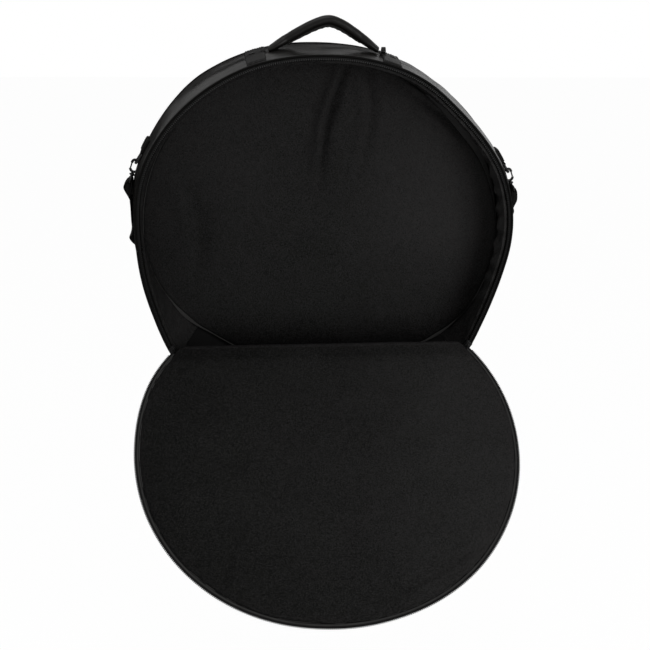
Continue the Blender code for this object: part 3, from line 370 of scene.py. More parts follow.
# The lid's zip tape carries a painted highlight and painted shade at its edges.
LID_TAPE = edge_tape_finish(
    "zip_tape_painted_highlight", (0.0014, 0.0014, 0.0014), (0.0250, 0.0246, 0.0240))
BINDING = woven_finish(
    "grosgrain_binding", (0.0080, 0.0078, 0.0076), (0.0400, 0.0390, 0.0380), 0.0011, 0.0016)
WEBBING = woven_finish(
    "black_webbing", (0.0015, 0.0015, 0.0015), (0.0075, 0.0074, 0.0072), 0.0021, 0.0016, 0.78, 0.0005)
# The mouth's coil is a lit copy of the lid's darker coil: painted light on its teeth, more of it towards the
# top of the bag.
COIL = thread_finish(
    "zip_coil_painted_light", (0.0030, 0.0030, 0.0030), (0.0370, 0.0367, 0.0364), 0.42, 2.4)
LID_COIL = thread_finish("dark_zip_coil", (0.0022, 0.0022, 0.0022), (0.0130, 0.0129, 0.0128), 0.45)
THREAD = thread_finish("sewing_thread", (0.0080, 0.0078, 0.0076), (0.0260, 0.0253, 0.0247))
METAL = metal_finish(
    "black_lacquered_metal", (0.0020, 0.0020, 0.0021), (0.0110, 0.0108, 0.0106), 0.26)
DARK_METAL = metal_finish(
    "dull_black_metal", (0.0020, 0.0020, 0.0021), (0.0090, 0.0088, 0.0087), 0.36)


# Meshes


def to_world(points):
    return np.asarray(points, float) + MOUTH_CENTRE


def opened(points):
    """Turns points of the closed lid about the fold to where the open lid hangs."""
    turn = radians(OPEN_ANGLE)
    rel = np.asarray(points, float) - HINGE
    y = rel[..., 1] * cos(turn) - rel[..., 2] * sin(turn)
    z = rel[..., 1] * sin(turn) + rel[..., 2] * cos(turn)
    return np.stack((rel[..., 0], y, z), -1) + HINGE


def at_lid(points):
    """To the place of the open lid, from the frame of the closed one."""
    return to_world(opened(points))


def run_length(points):
    """The distance run at each point of a line, from its start."""
    return np.concatenate(([0.0], np.cumsum(np.linalg.norm(np.diff(points, axis=0), axis=1))))


def flat_spot(x, z):
    """Places on the mouth's plane, for noise."""
    return np.stack((x, np.zeros_like(x), z), -1)


def level(depth):
    """A sheet's even depth, as a function of its places."""
    return lambda x, z, inset: np.full_like(x, depth)


def make_piece(name, points, faces, finish, uv=None, sharp=48.0, edge=None, edge_faces=0):
    """A closed mesh piece, with its doubles merged and its faces turned outwards. Its last
    edge_faces faces take the finish edge, if one is given."""
    mesh = bpy.data.meshes.new(name)
    mesh.from_pydata([tuple(point) for point in points], [], faces)
    if edge is not None:
        slots = np.zeros(len(faces), np.int32)
        slots[len(faces) - edge_faces:] = 1
        mesh.polygons.foreach_set("material_index", slots)
    if uv is not None:
        layer = mesh.uv_layers.new(name="UVMap")
        corners = np.empty(len(mesh.loops), int)
        mesh.loops.foreach_get("vertex_index", corners)
        layer.data.foreach_set("uv", np.asarray(uv, float)[corners].ravel())
    shape = bmesh.new()
    shape.from_mesh(mesh)
    bmesh.ops.remove_doubles(shape, verts=shape.verts, dist=1e-6)
    bmesh.ops.dissolve_degenerate(shape, edges=shape.edges, dist=1e-7)
    bmesh.ops.recalc_face_normals(shape, faces=shape.faces)
    shape.to_mesh(mesh)
    shape.free()
    mesh.materials.append(finish)
    if edge is not None:
        mesh.materials.append(edge)
    mesh.shade_smooth()
    mesh.set_sharp_from_angle(angle=radians(sharp))
    piece = bpy.data.objects.new(name, mesh)
    bpy.context.scene.collection.objects.link(piece)
    return piece


def grid_faces(rows, columns, wrap_rows, wrap_columns, start=0):
    """Quads of a lattice whose points are numbered row by row from start."""
    faces = []
    for i in range(rows if wrap_rows else rows - 1):
        for j in range(columns if wrap_columns else columns - 1):
            i2 = (i + 1) % rows
            j2 = (j + 1) % columns
            corners = (i * columns + j, i * columns + j2, i2 * columns + j2, i2 * columns + j)
            faces.append(tuple(start + corner for corner in corners))
    return faces


def shell(name, outer, inner, finish, wrap=False, pole=False, place=to_world, sharp=48.0, edge=None):
    """A closed solid between two lattices of the same shape, joined along their borders,
    which may have a finish of their own."""
    rows, columns, _ = outer.shape
    count = rows * columns
    points = np.concatenate((place(outer).reshape(-1, 3), place(inner).reshape(-1, 3)))
    front = grid_faces(rows, columns, wrap, False)
    faces = front + [tuple(reversed([count + k for k in face])) for face in front]
    borders = []
    for i in range(rows if wrap else rows - 1):
        i2 = (i + 1) % rows
        if not pole:
            borders.append((i * columns, i2 * columns))
        borders.append((i * columns + columns - 1, i2 * columns + columns - 1))
    if not wrap:
        last = (rows - 1) * columns
        for j in range(columns - 1):
            borders.append((j, j + 1))
            borders.append((last + j, last + j + 1))
    faces += [(a, b, count + b, count + a) for a, b in borders]
    lengths = run_length(outer[:, -1]), run_length(outer[0])
    uv = np.stack(np.meshgrid(*lengths, indexing="ij"), -1).reshape(-1, 2)
    return make_piece(name, points, faces, finish, np.concatenate((uv, uv)), sharp, edge, len(borders))


def sweep(name, sections, finish, wrap=False, place=to_world, sharp=48.0):
    """A solid through closed sections, each an (n, 3) loop, with its ends capped."""
    sections = np.asarray(sections, float)
    rows, columns, _ = sections.shape
    faces = grid_faces(rows, columns, wrap, True)
    if not wrap:
        faces.append(tuple(range(columns)))
        faces.append(tuple(reversed(range((rows - 1) * columns, rows * columns))))
    lengths = run_length(sections.mean(1)), run_length(sections[0])
    uv = np.stack(np.meshgrid(*lengths, indexing="ij"), -1).reshape(-1, 2)
    return make_piece(name, place(sections).reshape(-1, 3), faces, finish, uv, sharp)


def unit(vector):
    return vector / np.maximum(np.linalg.norm(vector, axis=-1, keepdims=True), 1e-12)


def tube(name, path, radius, finish, sides=12, wrap=False, square=None, place=to_world, flat=1.0):
    """A round wire or cord along a path. square is a direction kept square to its sections,
    along which flat widens them."""
    path = np.asarray(path, float)
    radii = np.broadcast_to(np.asarray(radius, float), (len(path),))
    ahead = np.roll(path, -1, 0)
    behind = np.roll(path, 1, 0)
    if not wrap:
        ahead[-1] = path[-1]
        behind[0] = path[0]
    along = unit(ahead - behind)
    square = BACKWARD if square is None else np.array(square, float)
    across = unit(np.cross(along, square))
    other = np.cross(across, along)
    turns = 2 * pi * (np.arange(sides) + 0.5) / sides
    flat = np.broadcast_to(flat, (len(path),))[:, None, None]
    turns = turns[None, :, None]
    ring = np.cos(turns) * across[:, None] + flat * np.sin(turns) * other[:, None]
    return sweep(name, path[:, None] + radii[:, None, None] * ring, finish, wrap, place, 60.0)


def smooth(points, steps, wrap=False):
    """A Catmull-Rom curve through points, with steps pieces between each two."""
    points = np.asarray(points, float)
    count = len(points)
    path = []
    for k in range(count if wrap else count - 1):
        if wrap:
            a, b, c, d = (points[(k + n) % count] for n in (-1, 0, 1, 2))
        else:
            a, b, c, d = (points[min(max(k + n, 0), count - 1)] for n in (-1, 0, 1, 2))
        for t in np.arange(steps) / steps:
            bend = 2 * b + (c - a) * t + (2 * a - 5 * b + 4 * c - d) * t**2
            path.append(0.5 * (bend + (3 * b - a - 3 * c + d) * t**3))
    if not wrap:
        path.append(points[-1])
    return np.array(path)


def soft_noise(points, scale, seed):
    """Slow random waves from -1 to 1, with scale features per metre."""
    flat = np.asarray(points, float).reshape(-1, 3) * scale + seed
    return np.array([noise.noise(Vector(point)) for point in flat]).reshape(np.shape(points)[:-1])


def polar(radius, depth, angle):
    """Places round the mouth's middle, at angles in degrees."""
    turn = np.radians(angle)
    radius, depth, turn = np.broadcast_arrays(radius, depth, turn)
    return np.stack((radius * np.cos(turn), depth, radius * np.sin(turn)), -1)


def bell(value, centre, width):
    return np.exp(-(((value - centre) / width) ** 2))


def fold_lines(x, z, lines):
    """Height of soft creases. Each line has its points in metres, its width and its height."""
    height = np.zeros_like(x)
    for points, width, rise in lines:
        line = smooth(np.array([(px, 0.0, pz) for px, pz in points]), 8)
        best = np.full(x.shape, 1e9)
        where = np.zeros_like(x)
        side = np.zeros_like(x)
        count = len(line) - 1
        for k in range(count):
            a = line[k]
            step = line[k + 1] - a
            length = step[0] ** 2 + step[2] ** 2
            t = np.clip(((x - a[0]) * step[0] + (z - a[2]) * step[2]) / length, 0.0, 1.0)
            dx = x - a[0] - t * step[0]
            dz = z - a[2] - t * step[2]
            gap = np.hypot(dx, dz)
            nearer = gap < best
            best = np.where(nearer, gap, best)
            where = np.where(nearer, (k + t) / count, where)
            side = np.where(nearer, np.sign(dx * step[2] - dz * step[0]), side)
        away = best * side
        strength = np.sin(pi * np.clip(where, 0.02, 0.98)) ** 0.6
        dip = 0.8 * bell(away, -width * 0.5, width * 0.8)
        height += rise * strength * (bell(away, width * 0.7, width) - dip)
    return height


def paint_light_and_shade(piece, lie):
    """Gives a fleece piece painted light and shade in an attribute: a function of (x, y, z) in the mouth's
    frame, from dark to light.
    """
    count = len(piece.data.vertices)
    places = np.empty(count * 3)
    piece.data.vertices.foreach_get("co", places)
    places = places.reshape(-1, 3) - MOUTH_CENTRE
    attribute = piece.data.attributes.new("painted_light_and_shade", "FLOAT", "POINT")
    attribute.data.foreach_set("value", np.asarray(lie(places[:, 0], places[:, 1], places[:, 2]), np.float32))


def finish_piece(piece, body, *nodes, fill=None):
    """Rides the piece on its body, in place of the named CAD nodes."""
    if nodes:
        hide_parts(*nodes)
    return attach(piece, body)


# Walls of the body


def gusset_radius(angle, share):
    """Radius of the outer skin at a share of the depth, with its bulge and soft waves."""
    depth = share * BODY_DEPTH
    inward = np.clip(-mouth_swell(angle) / 0.010, 0, 1)
    swell = mouth_swell(angle) * (1 - share) + rear_swell(angle) * share
    crown = (0.0024 - 0.0045 * inward) * (1 - np.abs(2 * share - 1) ** 2.6)
    plain = FRONT_RADIUS + FLARE * share + BULGE * np.sin(pi * share) + swell + crown
    points = polar(plain, depth, angle)
    slow = soft_noise(points * np.array((1.0, 0.6, 1.0)), 17.0, 3.1)
    quick = soft_noise(points * np.array((1.0, 0.35, 1.0)), 46.0, 8.7)
    along = np.stack(np.broadcast_arrays(np.radians(angle) * 2.6, share * 3.4, 0.7 + 0 * share), -1)
    folds = soft_noise(along, 1.0, 4.2)
    middle = np.sin(pi * share) ** 0.8
    pucker = np.sin(np.radians(angle) * 205 + 3 * slow) * bell(share, 0.0, 0.16)
    pucker = pucker + np.sin(np.radians(angle) * 188 + 2 * slow) * bell(share, 1.0, 0.14)
    sewn_in = 0.0012 * bell(share, 0.0, 0.035) + 0.0012 * bell(share, 1.0, 0.035)
    return plain + (0.0016 * slow + 0.0008 * quick + 0.0022 * folds) * middle + 0.00028 * pucker - sewn_in


DISC_CLEARANCE = 0.0022


def wall_grid(angles, inset, front, shares, lining=False):
    """Points of one layer of the wall, inset inside the skin, from front to the back."""
    angle, share = np.meshgrid(angles, shares, indexing="ij")
    depth = front + (BODY_DEPTH - front) * share
    radius = gusset_radius(angle, depth / BODY_DEPTH) - inset
    if lining:
        meet = disc_edge(angle) + DISC_CLEARANCE - (inset - SKIN - SEAT_GAP)
        stays = np.clip(1 - np.abs(angle - 8.0) / 46.0, 0, 1) ** 0.5
        lean = share**1.25 * (1 - 0.85 * stays)
        radius = radius * (1 - lean) + np.minimum(meet, radius) * lean
    return polar(radius, depth + mouth_push(angle) * (1 - share) ** 2, angle)


SHARES = 0.5 - 0.5 * np.cos(pi * np.linspace(0.0, 1.0, 27))
LINING_SEAM_LEFT = 38.6
LINING_SEAM_RIGHT = 40.5


def slanting_ridges(angle, share):
    """The slow waves of the lining and the slanting ridges that follow them."""
    slow = soft_noise(polar(0.28, share * 0.2, angle), 24.0, 5.5)
    return slow, np.sin(np.radians(angle) * 60 + share * 6.5 + 3.2 * slow)


def wall_wrinkles(angle, share):
    """Diagonal wrinkles of the lining, deepest on the right below the middle."""
    amount = 0.18 + 1.3 * bell(angle, 8.0, 34.0) + 0.35 * bell(angle, 200.0, 14.0)
    slow, slant = slanting_ridges(angle, share)
    cross = np.sin(np.radians(angle) * 33 - share * 4.0 + 2.6 * slow + 1.1)
    return amount * (0.0026 * np.maximum(slant, -0.3) + 0.0016 * cross) * np.sin(pi * share) ** 0.6


def gusset_painted_shading(x, y, z):
    """Painted light and shade on the wall's fleece: painted shade low and on the left, painted highlights on
    the wrinkles of the right, and a painted shadow in the gap by the back panel on the right.
    """
    angle = np.degrees(np.arctan2(z, x))
    share = np.clip(y / BODY_DEPTH, 0, 1)
    ridge = slanting_ridges(angle, share)[1]
    gap = np.clip((share - 0.80) / 0.12, 0, 1)
    right = bell(angle, 14.0, 34.0)
    low = np.clip((0.02 - z) / 0.14, 0, 1)
    return right * (0.46 + 0.24 * ridge - 0.70 * gap) + np.where(x < 0, 0.14 * low - 0.15, -0.30 * low)


def build_walls():
    upper = np.linspace(-SEAM_ANGLE + 0.06, 180 + SEAM_ANGLE - 0.06, 330)
    lower = np.linspace(180 + SEAM_ANGLE + 0.06, 360 - SEAM_ANGLE - 0.06, 130)
    fleece_at = np.linspace(-LINING_SEAM_RIGHT, 180 + LINING_SEAM_LEFT, 330)
    cloth_at = np.linspace(180.15 + LINING_SEAM_LEFT, 359.85 - LINING_SEAM_RIGHT, 130)
    for angles, cloth_angles, skin_name, cloth_name, prefix, cloth in (
        (upper, fleece_at, "gusset_leather", "gusset_fleece", "gusset", FLEECE),
        (lower, cloth_at, "base_leather", "base_cloth", "base", TAFFETA),
    ):
        outer = wall_grid(angles, 0.0, WALL_FRONT, SHARES)
        inner = wall_grid(angles, SKIN, PAD_FRONT, SHARES, True)
        ends = bell(angles, angles[0], 0.7) + bell(angles, angles[-1], 0.7)
        outer[..., (0, 2)] *= (1 - 0.0028 * ends)[:, None, None]
        piece = shell(skin_name, outer, inner, LEATHER, edge=TURNED_EDGE)
        finish_piece(piece, "body", f"{prefix}_outer", f"{prefix}_foam", fill=0.75)
        back = wall_grid(cloth_angles, SKIN + SEAT_GAP, PAD_FRONT, SHARES, True)
        face = wall_grid(cloth_angles, SKIN + SEAT_GAP + LINING, PAD_FRONT, SHARES, True)
        angle, share = np.meshgrid(cloth_angles, SHARES, indexing="ij")
        push = wall_wrinkles(angle, share) + 0.0010 * bell(share, 0.0, 0.05)
        radius = np.hypot(face[..., 0], face[..., 2])
        face[..., (0, 2)] *= (1 - push / radius)[..., None]
        piece = shell(cloth_name, back, face, cloth)
        # The wall's fleece gets painted light and shade.
        if cloth is FLEECE:
            paint_light_and_shade(piece, gusset_painted_shading)
        finish_piece(piece, "body", f"{prefix}_lining", fill=0.4)


def disc_grid(edge, height, shares, turns=360):
    """A round sheet: edge(angle) is its radius and height(x, z, inset) its depth."""
    angle, share = np.meshgrid(np.arange(turns) * 360.0 / turns, shares, indexing="ij")
    reach = edge(angle)
    flat = polar(reach * share, 0.0, angle)
    flat[..., 1] = height(flat[..., 0], flat[..., 2], reach * (1 - share))
    return flat


DISC_SHARES = np.concatenate((np.linspace(0.0, 0.86, 62), np.linspace(0.872, 0.97, 16),
                              (0.978, 0.985, 0.991, 0.996, 1.0)))
DISC_CREASES = (
    (((0.036, 0.266), (0.0265, 0.240), (0.0178, 0.214), (0.0048, 0.167), (-0.0036, 0.084)), 0.0085, 0.0085),
    (((0.062, 0.262), (0.0655, 0.241), (0.0735, 0.198), (0.0677, 0.150), (0.058, 0.110)), 0.0110, 0.0036),
    (((0.128, 0.238), (0.147, 0.229), (0.174, 0.210), (0.205, 0.186)), 0.0055, 0.0046),
    (((0.150, 0.205), (0.186, 0.178), (0.222, 0.140)), 0.0085, 0.0030),
    (((-0.215, 0.080), (-0.195, 0.020), (-0.200, -0.060)), 0.0180, 0.0020),
)


BACK_CROWN = 0.0028
FOAM_RIM = 0.283


def foot_slope(z):
    """How far the back's lining comes forward towards the bottom of the bag."""
    return 0.0100 * np.clip((-z - 0.10) / 0.16, 0, 1) ** 2


def disc_face(x, z, inset):
    """Depth of the fleece on the back panel: a low crown, creases and a rolled edge."""
    reach = np.hypot(x, z)
    crown = 0.0035 * (1 - np.clip(reach / 0.27, 0, 1) ** 2)
    spread = flat_spot(x, z)
    slow = 0.0016 * soft_noise(spread, 9.0, 2.2) + 0.0006 * soft_noise(spread, 26.0, 4.4)
    rolled = 0.0016 * np.exp(-inset / 0.0018)
    bunch = 0.0007 * np.sin((x * 0.6 + z) * 520) * bell(np.hypot(x - 0.183, z - 0.200), 0.0, 0.022)
    return DISC_FRONT - crown - slow - fold_lines(x, z, DISC_CREASES) - bunch + rolled - foot_slope(z)


def build_back():
    front = disc_grid(disc_edge, disc_face, DISC_SHARES)
    behind = disc_grid(disc_edge, level(DISC_BACK), DISC_SHARES)
    piece = shell("back_fleece", front, behind, FLEECE, wrap=True, pole=True)

    # Painted light and shade on the back panel's fleece: painted shade in the creases and at the foot,
    # painted light at the top left and towards the right.
    def back_painted_shading(x, y, z):
        crease_shade = np.clip(-fold_lines(x, z, DISC_CREASES) / 0.0045, 0, 1)
        foot = np.clip((-z - 0.130) / 0.075, 0, 1)
        top_left = bell(np.hypot(x + 0.16, z - 0.16), 0.0, 0.12)
        right = np.clip((x - 0.02) / 0.16, 0, 1) * np.clip((z + 0.1) / 0.1, 0, 1)
        return -0.03 + 0.10 * top_left + 0.28 * right - 0.44 * foot - 0.34 * crease_shade

    paint_light_and_shade(piece, back_painted_shading)
    finish_piece(piece, "body", "back_lining", fill=0.5)
    shares = np.concatenate((np.linspace(0.0, 0.9, 30), (0.94, 0.965, 0.98, 0.99, 0.996, 1.0)))

    def edge(angle):
        return REAR_PIPING_AT - PIPING_RADIUS - SEAT_GAP + rear_swell(angle) - 0.0008

    def face(x, z, inset):
        spread = flat_spot(x, z)
        slow = 0.0012 * soft_noise(spread, 11.0, 7.2)
        return BACK_FACE + BACK_CROWN * (1 - np.exp(-inset / 0.030)) + slow * (1 - np.exp(-inset / 0.02))

    outer = disc_grid(edge, face, shares)
    inner = disc_grid(edge, level(DISC_BACK + SEAT_GAP), shares)
    reach = np.hypot(inner[..., 0], inner[..., 2])
    inner[..., 1] = np.where(reach > FOAM_RIM, BODY_DEPTH + SEAT_GAP, inner[..., 1])
    piece = shell("back_leather", outer, inner, LEATHER, wrap=True, pole=True)
    finish_piece(piece, "body", "back_outer_panel", "back_foam", fill=0.7)


def round_path(angles, radius, depth):
    return polar(radius, depth, np.asarray(angles, float))


def mouth_path(angles, radius, depth):
    """A line round the soft mouth, which carries its swell and its lie."""
    angles = np.asarray(angles, float)
    return polar(radius + mouth_swell(angles), depth + mouth_push(angles), angles)


ALL_ROUND = np.arange(0.0, 360.0, 0.75)
BINDING_WIDTH = 0.0010
BINDING_THICKNESS = 0.0007


def build_trim():
    """Piping at the mouth and the back, and the binding over the inner seam."""
    wobble = soft_noise(polar(0.3, 0.0, ALL_ROUND), 55.0, 1.7)
    front = mouth_path(ALL_ROUND, PIPING_AT, 0.0004 * wobble)
    thickness = PIPING_RADIUS + 0.00015 * wobble
    piece = tube("mouth_piping", front, thickness, PIPING_LEATHER, 10, True)
    finish_piece(piece, "body", "rim_piping")
    rear_at = REAR_PIPING_AT + rear_swell(ALL_ROUND)
    rear = round_path(ALL_ROUND, rear_at, BODY_DEPTH + PIPING_RADIUS + SEAT_GAP)
    piece = tube("back_piping", rear, thickness, PIPING_LEATHER, 10, True)
    finish_piece(piece, "body", "rear_piping")
    wide = BINDING_WIDTH + 0.0042 * bell(ALL_ROUND, 212.5, 5.5) + 0.0034 * bell(ALL_ROUND, 318.5, 4.5)
    inner = disc_edge(ALL_ROUND) - 0.35 * wide
    outer = disc_edge(ALL_ROUND) + 0.0003 + 0.65 * wide
    depth = DISC_FRONT - foot_slope(np.sin(np.radians(ALL_ROUND)) * 0.27)
    depth = depth + 0.0030 * (1 - np.clip((wide - BINDING_WIDTH) / BINDING_WIDTH, 0, 1))
    top = np.stack((polar(inner, depth - 0.0006, ALL_ROUND),
                    polar((inner + outer) / 2, depth - 0.0012, ALL_ROUND),
                    polar(outer, depth - 0.0012, ALL_ROUND)), 1)
    low = top + BACKWARD * BINDING_THICKNESS
    piece = shell("back_binding", top, low, BINDING, wrap=True)
    finish_piece(piece, "body", "rear_seam_binding")


# Zips


STITCH = (0.0026, 0.00035)
STITCH_STEP = 0.0036
TAPE_STITCH = (0.0021, 0.00022)
TAPE_STITCH_STEP = 0.0028
TAPE_HALF = 0.0004
MOUTH_ZIP_ENDS = (-37.3, 217.3)
# Length, width and height of one tooth
MOUTH_TOOTH = (0.0024, 0.0014, 0.0021)
MOUTH_TOOTH_STEP = 0.0031
LID_TOOTH = (0.0025, 0.0015, 0.0021)
LID_TOOTH_STEP = 0.0027
POCKET_TOOTH = (0.0048, 0.0012, 0.0016)
POCKET_TOOTH_STEP = 0.0027
TAPE_OUTER = PIPING_AT - PIPING_RADIUS - 0.0002


def tooth_unit(name, length, width, height):
    """One turn of the coil: a small rounded bar along Y."""
    shape = bmesh.new()
    bmesh.ops.create_cube(shape, size=1.0)
    bmesh.ops.scale(shape, vec=(width, length, height), verts=shape.verts)
    bmesh.ops.bevel(shape, geom=shape.edges[:], offset=width * 0.28, segments=1, affect="EDGES")
    mesh = bpy.data.meshes.new(name)
    shape.to_mesh(mesh)
    shape.free()
    mesh.shade_smooth()
    return bpy.data.objects.new(name, mesh)


def stitch_unit(name, length, radius):
    """One stitch: a short thread along X that dips at both ends."""
    rings = ((-0.5, 0.45, -0.9), (-0.3, 0.95, 0.15), (0.0, 1.0, 0.45), (0.3, 0.95, 0.15), (0.5, 0.45, -0.9))
    turns = [2 * pi * k / 6 for k in range(6)]
    points = []
    for along, thick, up in rings:
        for turn in turns:
            points.append((along * length, radius * thick * cos(turn), radius * (up + thick * sin(turn))))
    faces = grid_faces(len(rings), len(turns), False, True)
    faces.append(tuple(reversed(range(len(turns)))))
    faces.append(tuple(range((len(rings) - 1) * len(turns), len(rings) * len(turns))))
    mesh = bpy.data.meshes.new(name)
    mesh.from_pydata(points, [], faces)
    mesh.shade_smooth()
    return bpy.data.objects.new(name, mesh)


def repeat_tree():
    """Nodes that set copies of a unit along a path, its X ahead and its Z along the path's normal."""
    tree = bpy.data.node_groups.new("repeat_along_path", "GeometryNodeTree")
    face = tree.interface
    sockets = (("Path", "NodeSocketGeometry"), ("Unit", "NodeSocketObject"), ("Spacing", "NodeSocketFloat"),
               ("Finish", "NodeSocketMaterial"))
    for label, kind in sockets:
        face.new_socket(label, in_out="INPUT", socket_type=kind)
    face.new_socket("Copies", in_out="OUTPUT", socket_type="NodeSocketGeometry")
    nodes = tree.nodes
    start = nodes.new("NodeGroupInput")
    end = nodes.new("NodeGroupOutput")
    curve = nodes.new("GeometryNodeMeshToCurve")
    spaced = nodes.new("GeometryNodeResampleCurve")
    spaced.mode = "LENGTH"
    tangent = nodes.new("GeometryNodeInputTangent")
    normal = nodes.new("GeometryNodeInputNamedAttribute")
    normal.data_type = "FLOAT_VECTOR"
    normal.inputs["Name"].default_value = "normal_out"
    turn = nodes.new("FunctionNodeAxesToRotation")
    turn.primary_axis = "X"
    turn.secondary_axis = "Z"
    unit_object = nodes.new("GeometryNodeObjectInfo")
    copies = nodes.new("GeometryNodeInstanceOnPoints")
    real = nodes.new("GeometryNodeRealizeInstances")
    painted = nodes.new("GeometryNodeSetMaterial")
    links = (
        (start.outputs["Path"], curve.inputs["Mesh"]),
        (curve.outputs["Curve"], spaced.inputs["Curve"]),
        (start.outputs["Spacing"], spaced.inputs["Length"]),
        (tangent.outputs["Tangent"], turn.inputs[0]),
        (normal.outputs["Attribute"], turn.inputs[1]),
        (start.outputs["Unit"], unit_object.inputs["Object"]),
        (unit_object.outputs["Geometry"], copies.inputs["Instance"]),
        (spaced.outputs["Curve"], copies.inputs["Points"]),
        (turn.outputs[0], copies.inputs["Rotation"]),
        (copies.outputs["Instances"], real.inputs["Geometry"]),
        (real.outputs["Geometry"], painted.inputs["Geometry"]),
        (start.outputs["Finish"], painted.inputs["Material"]),
        (painted.outputs["Geometry"], end.inputs["Copies"]),
    )
    for a, b in links:
        tree.links.new(a, b)
    return tree


REPEAT = repeat_tree()


def repeated(name, paths, unit_object, spacing, finish, place=to_world):
    """Copies of a unit along paths, each (points, outward normals, closed), as one plain mesh."""
    mesh = bpy.data.meshes.new(name)
    points = []
    normals = []
    edges = []
    for path, outward, closed in paths:
        start = len(points)
        path = np.asarray(path, float)
        outward = np.broadcast_to(np.asarray(outward, float), path.shape)
        tips = place(path + outward * 0.001)
        path = place(path)
        points += [tuple(point) for point in path]
        normals += [tuple(normal) for normal in unit(tips - path)]
        edges += [(start + k, start + k + 1) for k in range(len(path) - 1)]
        if closed:
            edges.append((start + len(path) - 1, start))
    mesh.from_pydata(points, edges, [])
    attribute = mesh.attributes.new("normal_out", "FLOAT_VECTOR", "POINT")
    attribute.data.foreach_set("vector", np.array(normals).ravel())
    guide = bpy.data.objects.new(name + "_path", mesh)
    bpy.context.scene.collection.objects.link(guide)
    maker = guide.modifiers.new("copies", "NODES")
    maker.node_group = REPEAT
    ids = {item.name: item.identifier for item in REPEAT.interface.items_tree if item.in_out == "INPUT"}
    maker[ids["Unit"]] = unit_object
    maker[ids["Spacing"]] = spacing
    maker[ids["Finish"]] = finish
    graph = bpy.context.evaluated_depsgraph_get()
    shaped = guide.evaluated_get(graph)
    made = bpy.data.meshes.new_from_object(shaped, preserve_all_data_layers=True, depsgraph=graph)
    if "normal_out" in made.attributes:
        made.attributes.remove(made.attributes["normal_out"])
    bpy.data.objects.remove(guide)
    piece = bpy.data.objects.new(name, made)
    bpy.context.scene.collection.objects.link(piece)
    return piece


def band(name, angles, inner, outer, front, back, finish, place=to_world, push=None):
    """A flat tape round the mouth between two radii, which may be arrays."""
    angles = np.asarray(angles, float)
    shares = np.linspace(0.0, 1.0, 5)
    radius = inner[:, None] + (outer - inner)[:, None] * shares
    wave = 0.00025 * soft_noise(polar(radius, 0.0, angles[:, None]), 60.0, 6.3)
    if push is not None:
        wave = wave + push[:, None]
    near = polar(radius, front + wave, angles[:, None])
    far = polar(radius, back + wave, angles[:, None])
    return shell(name, near, far, finish, place=place)


def build_mouth_zip():
    angles = np.linspace(*MOUTH_ZIP_ENDS, 420)
    swell = mouth_swell(angles)
    tape = band("mouth_zip_tape", angles, ROW_INNER + 0.0016 + swell, TAPE_OUTER + swell,
                -TAPE_HALF, TAPE_HALF, TAPE, push=mouth_push(angles))
    finish_piece(tape, "body", "body_zip_tape")
    row = mouth_path(angles, (ROW_INNER + ROW_OUTER) / 2, 0.0)
    tooth = tooth_unit("mouth_tooth", *MOUTH_TOOTH)
    coil = repeated("mouth_zip_coil", [(row, FORWARD, False)], tooth, MOUTH_TOOTH_STEP, COIL)
    finish_piece(coil, "body", "body_zip_teeth")
    seam = mouth_path(angles, ROW_OUTER + 0.0007, -0.0005)
    stitch = stitch_unit("tape_stitch", *TAPE_STITCH)
    line = repeated("mouth_tape_stitches", [(seam, FORWARD, False)], stitch, TAPE_STITCH_STEP, COIL)
    finish_piece(line, "body")


def build_lid_zip():
    end = degrees(asin((-HINGE[2] - 0.010) / LID_ROW_OUTER))
    angles = np.linspace(-end, 180 + end, 400)
    low_end = degrees(asin((-HINGE[2] - 0.0045) / LID_ROW_OUTER))
    tape_angles = np.linspace(-low_end, 180 + low_end, 400)
    swell = lid_swell(tape_angles)
    wobble = 0.0004 * soft_noise(polar(0.28, 0.0, tape_angles), 24.0, 9.1)
    tape = band("lid_zip_tape_cloth", tape_angles, LID_RADIUS - 0.0005 + swell + wobble,
                LID_ROW_INNER + 0.0010 + swell, -TAPE_HALF, TAPE_HALF, LID_TAPE, at_lid)
    finish_piece(tape, "lid", "lid_zip_tape")
    swell = lid_swell(angles)
    row = round_path(angles, (LID_ROW_INNER + LID_ROW_OUTER) / 2 + swell, 0.0)
    tooth = tooth_unit("lid_tooth", *LID_TOOTH)
    coil = repeated("lid_zip_coil", [(row, FORWARD, False)], tooth, LID_TOOTH_STEP, LID_COIL, at_lid)
    finish_piece(coil, "lid", "lid_zip_teeth")
    seam = round_path(angles, LID_ROW_INNER - 0.0007 + swell, 0.0005)
    stitch = stitch_unit("lid_tape_stitch", *TAPE_STITCH)
    line = repeated("lid_tape_stitches", [(seam, BACKWARD, False)], stitch, TAPE_STITCH_STEP, THREAD, at_lid)
    finish_piece(line, "lid")


# Lid, apron and the fold between them


def segment_border(radius, chord, upward, swell, count=420):
    """Border of a circle cut by a level chord at height chord, as (x, z) pairs evenly spaced."""
    end = degrees(asin(chord / radius))
    arc = np.linspace(end, 180 - end, 600)
    signed = arc if upward else -arc
    reach = radius + swell(signed)
    points = np.stack((reach * np.cos(np.radians(arc)), reach * np.sin(np.radians(arc))), -1)
    points[0, 1] = points[-1, 1] = chord
    if not upward:
        points[:, 1] *= -1
    loop = np.concatenate((points, points[:1]))
    length = run_length(loop)
    arc_length = length[-2]
    share = arc_length / length[-1]
    on_arc = int(round(count * share))
    wanted = np.concatenate((np.linspace(0.0, arc_length, on_arc, endpoint=False),
                             np.linspace(arc_length, length[-1], count - on_arc, endpoint=False)))
    return np.stack((np.interp(wanted, length, loop[:, 0]), np.interp(wanted, length, loop[:, 1])), -1)


